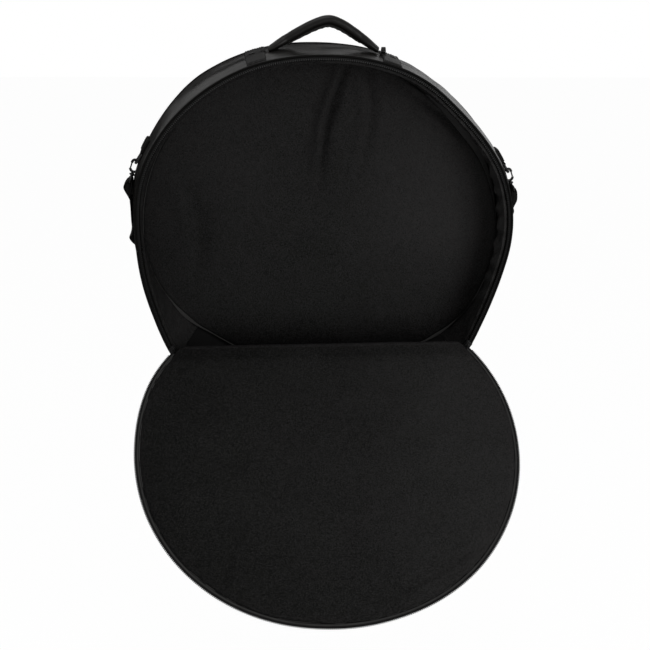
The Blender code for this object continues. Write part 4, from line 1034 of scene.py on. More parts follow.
def panel_grid(border, centre, shares, height):
    """A sheet inside a border, in rings about a centre: height(x, z, inset) is its depth."""
    spread = border[:, None] - centre
    flat = centre + spread * shares[None, :, None]
    inset = np.linalg.norm(spread, axis=2) * (1 - shares[None, :])
    depth = height(flat[..., 0], flat[..., 1], inset)
    return np.stack((flat[..., 0], depth, flat[..., 1]), -1)


PANEL_SHARES = np.concatenate((np.linspace(0.0, 0.84, 46), np.linspace(0.855, 0.965, 14),
                               (0.972, 0.978, 0.984, 0.989, 0.993, 0.9965, 1.0)))
LID_CREASES = (
    (((-0.132, 0.150), (-0.1374, 0.170), (-0.1498, 0.203), (-0.146, 0.234)), 0.0075, 0.0017),
    (((0.196, 0.170), (0.1697, 0.1946), (0.118, 0.2213), (0.069, 0.2432)), 0.0060, 0.0016),
    (((-0.060, -0.120), (0.020, -0.112), (0.110, -0.120)), 0.0200, 0.0012),
)


def lid_face(x, z, inset):
    """Depth of the lid's fleece: a padded crown with soft creases and a rounded edge."""
    spread = flat_spot(x, z)
    slow = 0.0015 * soft_noise(spread, 8.0, 12.3) + 0.0005 * soft_noise(spread, 28.0, 1.9)
    crown = 0.0030 * (1 - np.exp(-inset / 0.045)) * np.clip((z + 0.16) / 0.08, 0, 1)
    edge = 0.0030 * np.exp(-inset / 0.0022) * np.clip((z + 0.158) / 0.010, 0, 1)
    calm = np.clip((z + 0.163) / 0.030, 0, 1)
    return LID_BACK + crown + (slow + fold_lines(x, z, LID_CREASES)) * calm - edge


def lid_painted_shading(x, y, z):
    """Painted light and shade on the open lid: painted light at the right, painted shade at the left, at its
    far end and next to the fold.
    """
    far = np.clip((-z - 0.32) / 0.10, 0, 1)
    fold = np.exp(-np.clip(-0.163 - z, 0, 1) / 0.004)
    left = np.clip((-x - 0.05) / 0.2, 0, 1)
    right = np.clip((x - 0.03) / 0.17, 0, 1)
    return -0.10 - 0.16 * fold - 0.13 * left + 0.17 * right - 0.08 * far


def leather_face(rise, seed, clear):
    """The outside of the lid or the apron: soft waves, and an edge turned in where clear(z) allows."""

    def front(x, z, inset):
        slow = rise * soft_noise(flat_spot(x, z), 12.0, seed) * np.clip(inset / 0.03, 0, 1)
        return LID_FRONT - slow + 0.0048 * np.exp(-inset / 0.0030) * np.clip(clear(z) / 0.01, 0, 1)

    return front


def build_lid():
    chord = HINGE[2] + 0.0004
    wobble = lambda angle: lid_swell(angle) + 0.0005 * soft_noise(polar(0.27, 0.0, angle), 26.0, 4.9)
    border = segment_border(LID_RADIUS - 0.0006, chord, True, wobble)
    centre = np.array((0.0, 0.045))
    face = panel_grid(border, centre, PANEL_SHARES, lid_face)
    under = panel_grid(border, centre, PANEL_SHARES, level(FLEECE_UNDER))
    piece = shell("lid_fleece", face, under, FLEECE, wrap=True, pole=True, place=at_lid)
    paint_light_and_shade(piece, lid_painted_shading)
    finish_piece(piece, "lid", "lid_lining", fill=0.5)
    shares = np.concatenate((np.linspace(0.0, 0.9, 24), (0.93, 0.95, 0.965, 0.977, 0.986, 0.993, 0.997, 1.0)))
    border = segment_border(LID_RADIUS, HINGE[2] + FOLD_GAP, True, lid_swell)
    outside = panel_grid(border, centre, shares, leather_face(0.0010, 5.9, lambda z: z + 0.155))
    inside = panel_grid(border, centre, shares, level(FOAM_TOP))
    piece = shell("lid_leather", outside, inside, LEATHER, wrap=True, pole=True, place=at_lid)
    finish_piece(piece, "lid", "lid_outer", "lid_foam", fill=0.6)


def build_apron():
    chord = -HINGE[2] + 0.0004
    still = lambda angle: 0.0 * angle
    centre = np.array((0.0, -0.205))
    shares = np.concatenate((np.linspace(0.0, 0.9, 16), (0.93, 0.95, 0.965, 0.977, 0.986, 0.993, 1.0)))
    border = segment_border(APRON_RADIUS, chord, False, still, 260)

    def face(x, z, inset):
        edge = 0.0025 * np.exp(-inset / 0.0025) * np.clip((-0.170 - z) / 0.010, 0, 1)
        return LID_BACK - edge

    inside = panel_grid(border, centre, shares, face)
    under = panel_grid(border, centre, shares, level(FLEECE_UNDER))
    piece = shell("apron_fleece", inside, under, FLEECE, wrap=True, pole=True)
    finish_piece(piece, "body", "apron_lining", fill=0.4)
    border = segment_border(APRON_RADIUS, -HINGE[2] + FOLD_GAP, False, still, 260)
    outside = panel_grid(border, centre, shares, leather_face(0.0009, 15.9, lambda z: -0.170 - z))
    back = panel_grid(border, centre, shares, level(FOAM_TOP))
    piece = shell("apron_leather", outside, back, LEATHER, wrap=True, pole=True)
    finish_piece(piece, "body", "apron_outer", "apron_foam", fill=0.6)
    low = np.linspace(222.0, 318.0, 160)
    inner, outer = np.full_like(low, APRON_TAPE_AT), np.full_like(low, TAPE_OUTER)
    strip = band("apron_seam_tape", low, inner, outer, -0.0005, 0.0005, TAPE)
    finish_piece(strip, "body", "apron_seam_strip")


def build_fold():
    """The fleece that turns over the fold, and the leather welt inside it."""
    half = sqrt(LID_RADIUS**2 - HINGE[2] ** 2) - 0.0012
    across = np.linspace(-half, half, 90)
    reach = LID_BACK - HINGE[1]
    turns = np.linspace(-0.02, 1.02, 26)
    wave = 0.0006 * soft_noise(np.stack((across, 0 * across, 0 * across), -1), 22.0, 3.3)
    outer = []
    inner = []
    for turn in turns:
        angle = radians(OPEN_ANGLE * turn)
        radial = np.array((0.0, cos(angle), sin(angle)))
        swell = wave * max(sin(pi * min(max(turn, 0.0), 1.0)), 0.0)
        swell = swell - 0.0022 * np.exp(-(half - np.abs(across)) / 0.006)
        spot = np.stack((across, 0 * across, 0 * across), -1) + HINGE * np.array((0.0, 1.0, 1.0))
        outer.append(spot + radial * (reach + swell)[:, None])
        inner.append(spot + radial * (reach - LINING - 0.0006))
    outer = np.array(outer)
    inner = np.array(inner)
    piece = shell("fold_fleece", outer, inner, FLEECE)

    # Painted shade on the fleece over the fold: darkest on the apron's side, less towards the lid's side, and
    # a little lighter to the right.
    def fold_painted_shading(x, y, z):
        return -0.50 + 0.40 * np.clip((0.004 - y) / 0.014, 0, 1) + 0.10 * np.clip(x / 0.2, -1, 1)

    paint_light_and_shade(piece, fold_painted_shading)
    turn = radians(OPEN_ANGLE)
    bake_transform(piece)
    length = sqrt(APRON_RADIUS**2 - HINGE[2] ** 2) - 0.005
    line = np.stack((np.linspace(-length, length, 60), np.full(60, HINGE[1]), np.full(60, HINGE[2])), -1)
    welt = tube("fold_welt", line, 0.0030, PIPING_LEATHER, 14)
    finish_piece(welt, "body", "hinge_welt")


END_TABS = (("left", 216.6), ("right", -40.5))
END_TAB_SPAN = 3.9
END_TAB_OUTER = 0.2872
END_TAB_HALF = 0.0018
END_TAB_PUFF = 0.0020


def build_end_tabs():
    """Dark cloth tabs over the zip's ends."""
    for side, first in END_TABS:
        angles = np.linspace(first, first + END_TAB_SPAN, 11)
        shares = np.linspace(0.0, 1.0, 9)
        radius = APRON_TAPE_AT + (END_TAB_OUTER - APRON_RADIUS) * shares
        puff = END_TAB_PUFF * np.sin(pi * shares) ** 0.5
        near = polar(radius[None], -END_TAB_HALF - puff[None], angles[:, None])
        far = polar(radius[None], END_TAB_HALF + puff[None], angles[:, None])
        piece = shell(f"end_tab_{side}_cloth", near, far, WEBBING)
        finish_piece(piece, "body", f"zip_end_tab_{side}")


POCKET_LOW = 0.0620
POCKET_HIGH = 0.3300
POCKET_RISE = 0.0096
POCKET_HEM = 0.0050
POCKET_INSET = 0.0080
POCKET_TOP_HEM = 0.0070
POCKET_ZIP_DROP = 0.0240
POCKET_ZIP_HALF = 0.13
POCKET_TAPE_WIDTH = 0.030
POCKET_SEAM = 0.0125
POCKET_STITCH = (0.0024, 0.00028)
POCKET_STITCH_STEP = 0.0034


def build_pocket():
    """The padded pocket on the outside of the lid, with its zip."""
    reach = LID_RADIUS - POCKET_HEM - POCKET_INSET
    low = POCKET_LOW + HINGE[2]
    high = POCKET_HIGH + HINGE[2]
    first = degrees(asin(low / reach))
    last = degrees(asin(high / reach))
    arc = np.radians(np.linspace(first, last, 90))
    right = np.stack((reach * np.cos(arc), reach * np.sin(arc)), -1)
    top = np.linspace(right[-1], right[-1] * np.array((-1, 1)), 40)[1:-1]
    left = right[::-1] * np.array((-1, 1))
    foot = np.linspace(left[-1], right[0], 110)[1:-1]
    border = np.concatenate((right, top, left, foot))
    centre = np.array((0.0, (low + high) / 2))
    shares = np.concatenate((np.linspace(0.0, 0.84, 30),
                             (0.88, 0.91, 0.935, 0.955, 0.97, 0.982, 0.99, 0.996, 1.0)))
    back = LID_FRONT - SEAT_GAP

    def front(x, z, inset):
        spread = flat_spot(x, z)
        slow = 0.0016 * soft_noise(spread, 11.0, 21.0) + 0.0006 * soft_noise(spread, 34.0, 31.0)
        zip_flat = bell(z, high - 0.031, 0.020)
        rise = POCKET_RISE * (1 - np.exp(-inset / 0.0042))
        return back - rise - slow * (1 - zip_flat) * np.clip(inset / 0.02, 0, 1)

    outside = panel_grid(border, centre, shares, front)
    inside = panel_grid(border, centre, shares, level(back))
    piece = shell("pocket_leather", outside, inside, LEATHER, wrap=True, pole=True, place=at_lid)
    finish_piece(piece, "lid", "pocket_cover", "pocket_padding", fill=0.7)
    build_pocket_zip(back - POCKET_RISE - SEAT_GAP, high - POCKET_TOP_HEM - POCKET_ZIP_DROP)


def build_pocket_zip(face, height):
    """The pocket's tape, its coil and its two rows of stitches, on the pocket's face."""
    along = np.linspace(-POCKET_ZIP_HALF, POCKET_ZIP_HALF, 80)
    shares = np.linspace(-0.5, 0.5, 9)
    rows = height + POCKET_TAPE_WIDTH * shares[None]
    spot = np.stack(np.broadcast_arrays(along[:, None], face - TAPE_HALF, rows), -1)
    wave = 0.0002 * soft_noise(spot, 50.0, 2.0)
    near = spot + FORWARD * (TAPE_HALF + wave)[..., None]
    far = spot + BACKWARD * TAPE_HALF
    piece = shell("pocket_tape_cloth", near, far, TAPE, place=at_lid)
    finish_piece(piece, "lid", "pocket_zip_tape")
    row_front = face - 0.0008 - SEAT_GAP
    tooth = tooth_unit("pocket_tooth", *POCKET_TOOTH)
    row = np.stack((along, np.full(80, row_front - 0.0008), np.full(80, height)), -1)
    piece = repeated("pocket_zip_coil", [(row, FORWARD, False)], tooth, POCKET_TOOTH_STEP, COIL, at_lid)
    finish_piece(piece, "lid", "pocket_zip_teeth")
    stitch = stitch_unit("pocket_stitch", *POCKET_STITCH)
    lines = []
    for rise in (-POCKET_SEAM, POCKET_SEAM):
        line = row + np.array((0.0, 0.0, rise))
        line[:, 1] = face - 0.0009
        lines.append((line, FORWARD, False))
    piece = repeated("pocket_tape_stitches", lines, stitch, POCKET_STITCH_STEP, THREAD, at_lid)
    finish_piece(piece, "lid")


# Handle


HANDLE_HALF_SPAN = 0.0870
HANDLE_RISE = 0.0420
HANDLE_AXIS = 0.287449
EYE_RADIUS = 0.0045
EYE_BORE = 0.0030
CHAPE_HALF_DEPTH = 0.0380
GRIP_RADIUS = 0.0066
GRIP_X_SHARES = (0.93, 0.885, 0.83, 0.74, 0.62, 0.41, 0.20)
GRIP_Z_SHARES = (0.00, 0.03, 0.10, 0.22, 0.38, 0.66, 0.89)
GRIP_RADIUS_SHARES = (0.60, 0.68, 0.78, 0.92, 1.0, 1.0, 1.0)
GRIP_LEAN = 0.0070
FIN_SEAT = 0.0004
FIN_HEIGHT = 0.0040
FIN_HALF = 0.0008
FIN_SEAM = 0.0021
CHAPE_INNER = 0.0030
CHAPE_WIDTH = 0.0275
CHAPE_RISE = 0.0018
CHAPE_SEAM_INSET = 0.0025
CHAPE_SEAM_LIFT = 0.0023
CHAPE_EYE_HALF = 0.0030
NECK_DROP = 0.0062
NECK_HALF_DEPTH = 0.0078
NECK_SECTION = ((-0.0030, -0.0030), (0.0030, -0.0030), (0.0030, 0.0022), (-0.0030, 0.0022))
RIVET_INSET = 0.003
RIVET_LIFT = 0.0024
RIVET_RADIUS = 0.0045
RIVET_HEIGHT = 0.0020


def grip_line():
    """Smooth points and radii of the grip. The whole grip leans a little, as in the photo."""
    reach = HANDLE_HALF_SPAN + 0.0050
    half = [(reach, 0.0, 0.0025)]
    for x, z, radius in zip(GRIP_X_SHARES, GRIP_Z_SHARES, GRIP_RADIUS_SHARES):
        half.append((HANDLE_HALF_SPAN * x, HANDLE_RISE * z, GRIP_RADIUS * radius))
    whole = [(-x, z, radius) for x, z, radius in half] + [(0.0, HANDLE_RISE, GRIP_RADIUS)] + half[::-1]
    line = smooth(np.array([(x, z, radius) for x, z, radius in whole]), 6)
    rise = line[:, 1] / HANDLE_RISE
    line[:, 0] += GRIP_LEAN * rise**1.2 * (rise > 0)
    return line


def build_handle():
    line = grip_line()
    path = np.stack((line[:, 0], np.full(len(line), MID_DEPTH), HANDLE_AXIS + line[:, 1]), -1)
    creases = soft_noise(path, 120.0, 6.6)
    radii = line[:, 2] * (1 + 0.035 * creases)
    ends = np.arange(len(line))
    ends = np.minimum(ends, ends[::-1])
    radii = radii * np.where(ends == 0, 0.8, 1.0)
    ends = np.abs(line[:, 0]) / HANDLE_HALF_SPAN
    wide = 1 + 1.1 * np.clip((ends - 0.62) / 0.24, 0, 1) * np.clip((0.965 - ends) / 0.03, 0, 1)
    grip = tube("grip_leather", path, radii, GRIP_LEATHER, 24, flat=wide)
    finish_piece(grip, "handle", "handle_grip", fill=0.9)
    rise = line[:, 1] / HANDLE_RISE
    middle = path[rise > 0.36]
    along = unit(np.gradient(middle, axis=0))
    down = unit(np.cross(along, BACKWARD))
    down = np.where(down[:, 2:3] > 0, -down, down)
    count = len(middle)
    taper = np.sin(pi * np.clip(np.arange(count) / (count - 1), 0.03, 0.97)) ** 0.35
    scallop = 0.00035 * np.sin(np.arange(count) * 1.9)
    near = middle + down * (GRIP_RADIUS - FIN_SEAT)
    far = near + down * ((FIN_HEIGHT + scallop) * taper)[:, None]
    depth = BACKWARD * FIN_HALF
    body_loop = np.stack((near - depth, near + depth, far + depth * 0.8, far - depth * 0.8), 1)
    fin = sweep("grip_seam_fin", body_loop, GRIP_LEATHER)
    finish_piece(fin, "handle", "handle_seam_fin")
    stitch = stitch_unit("grip_stitch", *STITCH)
    lines = []
    for side in (-1, 1):
        row = near + down * (FIN_SEAM * taper)[:, None] + side * depth
        lines.append((row, (0.0, side, 0.0), False))
    piece = repeated("grip_stitches", lines, stitch, STITCH_STEP, THREAD)
    finish_piece(piece, "handle")


def patch_grid(angles, depths, lift):
    """Points on the gusset's skin, lifted off it."""
    angle, depth = np.meshgrid(angles, depths, indexing="ij")
    radius = np.maximum(gusset_radius(angle, depth / BODY_DEPTH), 0.0) + lift
    return polar(radius, depth, angle)


def seam_round(low, high, near, far, counts, lift):
    """A line of stitches round a patch on the gusset, and the way out from it."""
    n, m = counts
    across = (np.linspace(low, high, n), np.full(m, high), np.linspace(high, low, n), np.full(m, low))
    back = (np.full(n, near), np.linspace(near, far, m), np.full(n, far), np.linspace(far, near, m))
    angle, depth = np.concatenate(across), np.concatenate(back)
    row = polar(gusset_radius(angle, depth / BODY_DEPTH) + lift, depth, angle)
    return row, polar(1.0, 0.0, angle), True


def chape_span(sign):
    """First and last angle of a handle's patch."""
    inner = HANDLE_HALF_SPAN - CHAPE_INNER
    outer = inner + CHAPE_WIDTH
    near = degrees(atan2(sqrt(GUSSET_TOP**2 - inner**2), inner))
    far = degrees(atan2(sqrt(GUSSET_TOP**2 - outer**2), outer))
    return (far, near) if sign > 0 else (180 - near, 180 - far)


def patch_piece(name, angles, depths, rise, finish):
    """A sewn patch on the gusset with soft edges."""
    a = (angles - angles[0]) / (angles[-1] - angles[0])
    d = (depths - depths[0]) / (depths[-1] - depths[0])
    edge_a = 1 - np.exp(-np.minimum(a, 1 - a) / 0.05)
    edge_d = 1 - np.exp(-np.minimum(d, 1 - d) / 0.04)
    lift = 0.0006 + rise * np.sqrt(edge_a[:, None] * edge_d[None])
    outer = patch_grid(angles, depths, lift)
    inner = patch_grid(angles, depths, 0.0002)
    return shell(name, outer, inner, finish)


def build_chape(side, sign):
    """A handle's patch with its leather eye, its rivet and its stitches."""
    first, last = chape_span(sign)
    angles = np.linspace(first, last, 26)
    depths = np.linspace(MID_DEPTH - CHAPE_HALF_DEPTH, MID_DEPTH + CHAPE_HALF_DEPTH, 40)
    patch = patch_piece(f"chape_{side}_leather", angles, depths, CHAPE_RISE, PATCH_LEATHER)
    centre = np.array((sign * HANDLE_HALF_SPAN, MID_DEPTH, HANDLE_AXIS))
    build_chape_eye(side, centre)
    finish_piece(patch, "body", f"handle_chape_{side}")
    neck_at = centre - np.array((0.0, 0.0, NECK_DROP))
    depths = [share * NECK_HALF_DEPTH for share in (-1, -0.5, 0, 0.5, 1)]
    sections = [[neck_at + np.array((x, y, z)) for x, z in NECK_SECTION] for y in depths]
    neck = sweep(f"chape_{side}_neck", sections, GRIP_LEATHER)
    finish_piece(neck, "body")
    middle = (first + last) / 2 - sign * degrees(RIVET_INSET / ZIP_RADIUS)
    up = polar(1.0, 0.0, middle)
    aside = polar(1.0, 0.0, middle + 90)
    seat = polar(gusset_radius(np.array(middle), np.array(0.5)) + RIVET_LIFT, MID_DEPTH, middle)
    rivet = dome(f"rivet_{side}_metal", seat, up, aside, RIVET_RADIUS, RIVET_HEIGHT)
    finish_piece(rivet, "body", f"handle_rivet_{side}")
    inset = degrees(CHAPE_SEAM_INSET / GUSSET_TOP)
    near = MID_DEPTH - CHAPE_HALF_DEPTH + CHAPE_SEAM_INSET
    far = MID_DEPTH + CHAPE_HALF_DEPTH - CHAPE_SEAM_INSET
    seam = seam_round(first + inset, last - inset, near, far, (20, 40), CHAPE_SEAM_LIFT)
    stitch = stitch_unit(f"chape_{side}_stitch", *STITCH)
    piece = repeated(f"chape_{side}_stitches", [seam], stitch, STITCH_STEP, THREAD)
    finish_piece(piece, "body")


def build_chape_eye(side, centre):
    """The leather eye that holds the grip's end, drawn out where it joins its patch."""
    turns = np.linspace(0.0, 2 * pi, 24, endpoint=False)
    loops = []
    for reach, end in ((EYE_RADIUS, -1), (EYE_RADIUS, 1), (EYE_BORE, 1), (EYE_BORE, -1)):
        spread = 1 + (reach > 0.004) * 0.7 * np.clip(0.35 - np.sin(turns), 0, 1)
        ring = (np.full(24, end * CHAPE_EYE_HALF), reach * spread * np.cos(turns), reach * np.sin(turns))
        loops.append(centre + np.stack(ring, -1))
    eye = sweep(f"chape_{side}_eye", loops, GRIP_LEATHER, wrap=True)
    bevel = eye.modifiers.new("soft_edge", "BEVEL")
    bevel.width = 0.0006
    bevel.segments = 2
    bevel.angle_limit = radians(40)
    finish_piece(eye, "body")


# Shares of the radius and of the height
RIVET_PROFILE = ((0.0, 0.0), (1.0, 0.0), (1.04, 0.18), (1.0, 0.40), (0.86, 0.55), (0.80, 0.72),
                 (0.55, 0.93), (0.25, 1.0), (0.0, 1.02))


def turned_metal(name, grid):
    """A metal piece turned on a lathe, from its profile at each angle."""
    grid = np.array(grid)
    faces = grid_faces(*grid.shape[:2], True, False)
    return make_piece(name, to_world(grid).reshape(-1, 3), faces, METAL, None, 30.0)


def dome(name, seat, up, aside, radius, height, sides=32):
    """A low rivet head with a rolled rim."""
    other = np.cross(up, aside)
    turns = np.linspace(0.0, 2 * pi, sides, endpoint=False)
    grid = []
    for turn in turns:
        out = cos(turn) * aside + sin(turn) * other
        grid.append([seat + out * radius * r + up * height * h for r, h in RIVET_PROFILE])
    return turned_metal(name, grid)


# Side hardware


LEFT_TAB_ANGLE = 27.4
RIGHT_TAB_ANGLE = 23.8
TAB_SPAN_ANGLE = 4.8
RING_LOOK = 0.0020
HOOK_LOOK = 0.0020
SLEEVE_RADIUS = 0.0037
RING_WIRE = 0.0018
HOOK_WIRE = 0.0016
EYE_WIRE = 0.0017
RING_BAR_SHARES = ((0.0, 1.0), (0.0, 0.5), (0.0, 0.0), (0.0, -0.5), (0.0, -1.0))
RING_BOW_SHARES = ((0.15, -1.08), (0.45, -1.05), (0.75, -0.8), (0.94, -0.42), (1.0, 0.0))
HOOK_BEND_SHARES = ((0.55, 0.93), (0.15, 0.55))
HOOK_BOW_SHARES = ((0.2, 0.7), (0.72, 1.0))
# Share of the post's length, and the radius there
SWIVEL_PROFILE = (
    (0.0, 0.0), (0.0, 0.0024), (0.26, 0.0025), (0.30, 0.0038), (0.38, 0.0042),
    (0.62, 0.0042), (0.70, 0.0038), (0.74, 0.0025), (1.0, 0.0024), (1.0, 0.0),
)
GATE_RADIUS = 0.0011
GATE_TAPER = np.array((0.55, 1.0, 0.95, 1.0))
GATE_PIN = 0.0005
RING_LEAN_ANGLE = 37.0
HOOK_LEAN_ANGLE = 19.5
TAB_RISE = 0.0038
TAB_SEAM_LIFT = 0.0040
RING_DROP = 0.0170
RING_HALF_WIDTH = 0.0150
SLEEVE_BORE = 0.0022
SLEEVE_HALF_LENGTH = 0.0120
TAB_HALF_DEPTH = 0.0130
TAB_SEAM = 0.0022
EYE_HALF_WIDTH = 0.0146
EYE_CORNER = 0.0022
HOOK_HALF_WIDTH = 0.0052
HOOK_LENGTH = 0.0185
GATE_TOP = 0.0026
GATE_LENGTH = 0.0070
POST_LENGTH = 0.0048
EYE_DROP = 0.0066
LEAF_LENGTH = 0.0250
LEAF_BULGE = 0.0060
WEBBING_THICKNESS = 0.0018
STRAP_Y = 0.1026
STRAP_RUN = 0.1414


def wall_radius(depth):
    share = depth / BODY_DEPTH
    return FRONT_RADIUS + FLARE * share + BULGE * sin(pi * share)


def tab_angle(sign):
    """The left tab is sewn on a little higher."""
    return LEFT_TAB_ANGLE if sign < 0 else RIGHT_TAB_ANGLE


def side_frame(sign):
    """The same places as the model's: the ring's bar, its foot and the hook's own line."""
    bar = polar(wall_radius(MID_DEPTH + 0.0120) + SEAT_GAP + SLEEVE_RADIUS, MID_DEPTH, tab_angle(sign))
    ring_down, hook_down = (np.array((sin(lean), 0.0, -cos(lean)))
                            for lean in (radians(RING_LEAN_ANGLE), radians(HOOK_LEAN_ANGLE)))
    foot = bar + ring_down * RING_DROP
    out = np.array((-hook_down[2], 0.0, hook_down[0]))
    flip = lambda point: np.asarray(point) * np.array((sign, 1.0, 1.0))
    return flip, bar, ring_down, foot, hook_down, out


def hook_line():
    half = HOOK_HALF_WIDTH
    top = -(RING_WIRE + HOOK_WIRE + SEAT_GAP)
    bottom = top + HOOK_LENGTH
    bend = [(drop * half, across * half) for drop, across in HOOK_BEND_SHARES]
    foot = [(bottom - drop, across) for drop, across in bend]
    foot += [(bottom, 0.0)] + [(bottom - drop, -across) for drop, across in reversed(bend)]
    bow = [(top + drop * half, across * half) for drop, across in HOOK_BOW_SHARES]
    head = [(along, -across) for along, across in reversed(bow)] + [(top, 0.0)] + bow
    start = (GATE_TOP + GATE_LENGTH + 0.0012, half)
    return [start, *foot, (bottom / 2, -half), *head, (GATE_TOP - 0.0006, half)]


def build_ring_and_hook(side, flip, bar, ring_down, foot, down, out):
    outline = [*RING_BAR_SHARES, *RING_BOW_SHARES]
    outline += [(drop, -across) for drop, across in reversed(RING_BOW_SHARES[:-1])]
    ring_drop = ring_down * RING_DROP
    points = [flip(bar + ring_drop * drop + BACKWARD * RING_HALF_WIDTH * across) for drop, across in outline]
    square = flip(np.array((-ring_down[2], 0.0, ring_down[0])))
    ring = tube(f"ring_{side}_metal", smooth(points, 4, True), RING_LOOK, METAL, 12, True, square)
    finish_piece(ring, f"ring_{side}", f"d_ring_{side}")
    points = [flip(foot + down * along + out * across) for along, across in hook_line()]
    hook = tube(f"hook_{side}_metal", smooth(points, 5), HOOK_LOOK, METAL, 12)
    finish_piece(hook, f"hook_{side}", f"snap_hook_{side}")
    pivot = foot + down * (GATE_TOP + GATE_LENGTH) + out * HOOK_HALF_WIDTH
    points = [flip(pivot + down * along) for along in (GATE_PIN, 0.0, -GATE_LENGTH / 2, -GATE_LENGTH)]
    gate = tube(f"gate_{side}_metal", points, GATE_TAPER * GATE_RADIUS, DARK_METAL, 12)
    finish_piece(gate, f"gate_{side}", f"hook_gate_{side}")


def build_swivel(side, flip, foot, down, out):
    """The hook's stem and the eye that holds the strap."""
    post = HOOK_LENGTH - RING_WIRE
    upper = post + POST_LENGTH
    lower = upper + EYE_DROP
    turns = np.linspace(0.0, 2 * pi, 20, endpoint=False)
    grid = [[flip(foot + down * (post + POST_LENGTH * share) + (cos(t) * BACKWARD + sin(t) * out) * radius)
             for share, radius in SWIVEL_PROFILE] for t in turns]
    finish_piece(turned_metal(f"swivel_{side}_metal", grid), "body", f"swivel_eye_{side}")
    half, corner = EYE_HALF_WIDTH, EYE_CORNER
    cut = corner * 0.3
    rounded = [
        (upper, -half + corner), (upper, 0.0), (upper, half - corner), (upper + cut, half - cut),
        (upper + corner, half), (lower - corner, half), (lower - cut, half - cut),
        (lower, half - corner), (lower, 0.0), (lower, -half + corner), (lower - cut, cut - half),
        (lower - corner, -half), (upper + corner, -half), (upper + cut, cut - half),
    ]
    points = [flip(foot + down * along + BACKWARD * across) for along, across in rounded]
    eye = tube(f"strap_eye_{side}_metal", points, EYE_WIRE, METAL, 12, True, flip(out))
    finish_piece(eye, "body")


def build_tab(side, sign, flip, bar):
    """The sewn tab, the sleeve that it makes round the ring's bar, and its stitches."""
    start = tab_angle(sign) + degrees((SLEEVE_BORE + SEAT_GAP) / GUSSET_TOP)
    angles = np.linspace(start, tab_angle(sign) + TAB_SPAN_ANGLE, 30)
    if sign < 0:
        angles = 180 - angles[::-1]
    depths = np.linspace(MID_DEPTH - TAB_HALF_DEPTH, MID_DEPTH + TAB_HALF_DEPTH, 22)
    tab = patch_piece(f"tab_{side}_leather", angles, depths, TAB_RISE, PIPING_LEATHER)
    finish_piece(tab, "body", f"ring_tab_{side}")
    turns = np.linspace(0.0, 2 * pi, 28, endpoint=False)
    loops = []
    for reach, end in ((SLEEVE_RADIUS, -1), (SLEEVE_RADIUS, 1), (SLEEVE_BORE, 1), (SLEEVE_BORE, -1)):
        centre = bar + BACKWARD * end * SLEEVE_HALF_LENGTH
        loops.append([flip(centre + np.array((reach * cos(t), 0.0, reach * sin(t)))) for t in turns])
    sleeve = sweep(f"tab_{side}_sleeve", loops, PIPING_LEATHER, wrap=True)
    finish_piece(sleeve, "body")
    inset = degrees(TAB_SEAM / GUSSET_TOP)
    low, high = angles[0] + inset, angles[-1] - inset
    seam = seam_round(low, high, depths[0] + TAB_SEAM, depths[-1] - TAB_SEAM, (40, 20), TAB_SEAM_LIFT)
    stitch = stitch_unit(f"tab_{side}_stitch", *STITCH)
    piece = repeated(f"tab_{side}_stitches", [seam], stitch, STITCH_STEP, THREAD)
    finish_piece(piece, "body")


def build_side(side, sign):
    flip, bar, ring_down, foot, down, out = side_frame(sign)
    build_ring_and_hook(side, flip, bar, ring_down, foot, down, out)
    build_swivel(side, flip, foot, down, out)
    build_tab(side, sign, flip, bar)


# Shoulder strap


STRAP_TURN_SHARES = (
    (1.025, 0.06, 0.142, 1.0, 0.0),
    (1.026, 0.22, 0.104, 1.0, 0.0),
    (1.026, 0.48, 0.060, 1.0, 0.0),
    (1.016, 0.79, 0.014, 0.8, 0.6),
    (0.960, 0.98, -0.040, 0.4, 0.9),
    (0.885, 1.00, -0.105, 0.0, 1.0),
)
LEAF_OUTSIDE_SHARES = {
    "left": ((0.24, 0.62), (0.58, 1.62), (0.86, 0.95)),
    "right": ((0.20, 0.46), (0.42, 0.98), (0.82, 0.66)),
}
LEAF_INSIDE_SHARES = ((0.875, 0.64), (0.55, 0.80), (0.25, 0.50))
LOOSE_END = 0.0070
CLOSE_LIE = 0.0013
STRAP_WIDTH = 0.0250
PAD_WIDTH = 0.0480
PAD_THICKNESS = 0.0062
PAD_PUFF = 0.0012
MIRROR = np.array((-1.0, 1.0, 1.0))
PAD_STANDS_OFF = WEBBING_THICKNESS / 2 + SEAT_GAP + 0.0045
SLIDE_WIRE = 0.0012
SLIDE_CLEARANCE = 0.0006
EYE_BAR = HOOK_LENGTH - RING_WIRE + POST_LENGTH + EYE_DROP
EYE_TURN = EYE_WIRE + SEAT_GAP + WEBBING_THICKNESS / 2
LEAF_REACH = LEAF_LENGTH + LOOSE_END
LEAF_END = EYE_BAR + LEAF_REACH


def wall_side(point, sign):
    """How far out the soft wall stands at a point's height and depth. x is positive on both sides."""
    angle = np.array(degrees(atan2(point[2], sign * point[0])))
    share = np.array(min(max(point[1] / BODY_DEPTH, 0.0), 1.0))
    return sqrt(float(gusset_radius(angle, share)) ** 2 - point[2] ** 2)


def at_wall(point, sign, close):
    """Draws a point of the strap in: close is 0 where it hangs free and 1 where it lies on the wall."""
    rest = wall_side(point, sign) + CLOSE_LIE
    x = point[0] + (rest - point[0]) * close if point[0] > rest else rest
    return np.array((x, point[1], point[2]))


def leaf_place(along, across, sign):
    """A place on the strap's folded end, from its distances along and square to the hook's line."""
    _, _, _, foot, down, out = side_frame(sign)
    close = min(max((along - EYE_BAR) / LEAF_REACH, 0.0), 1.0) ** 1.5
    return at_wall(foot + down * along + out * across, sign, close)


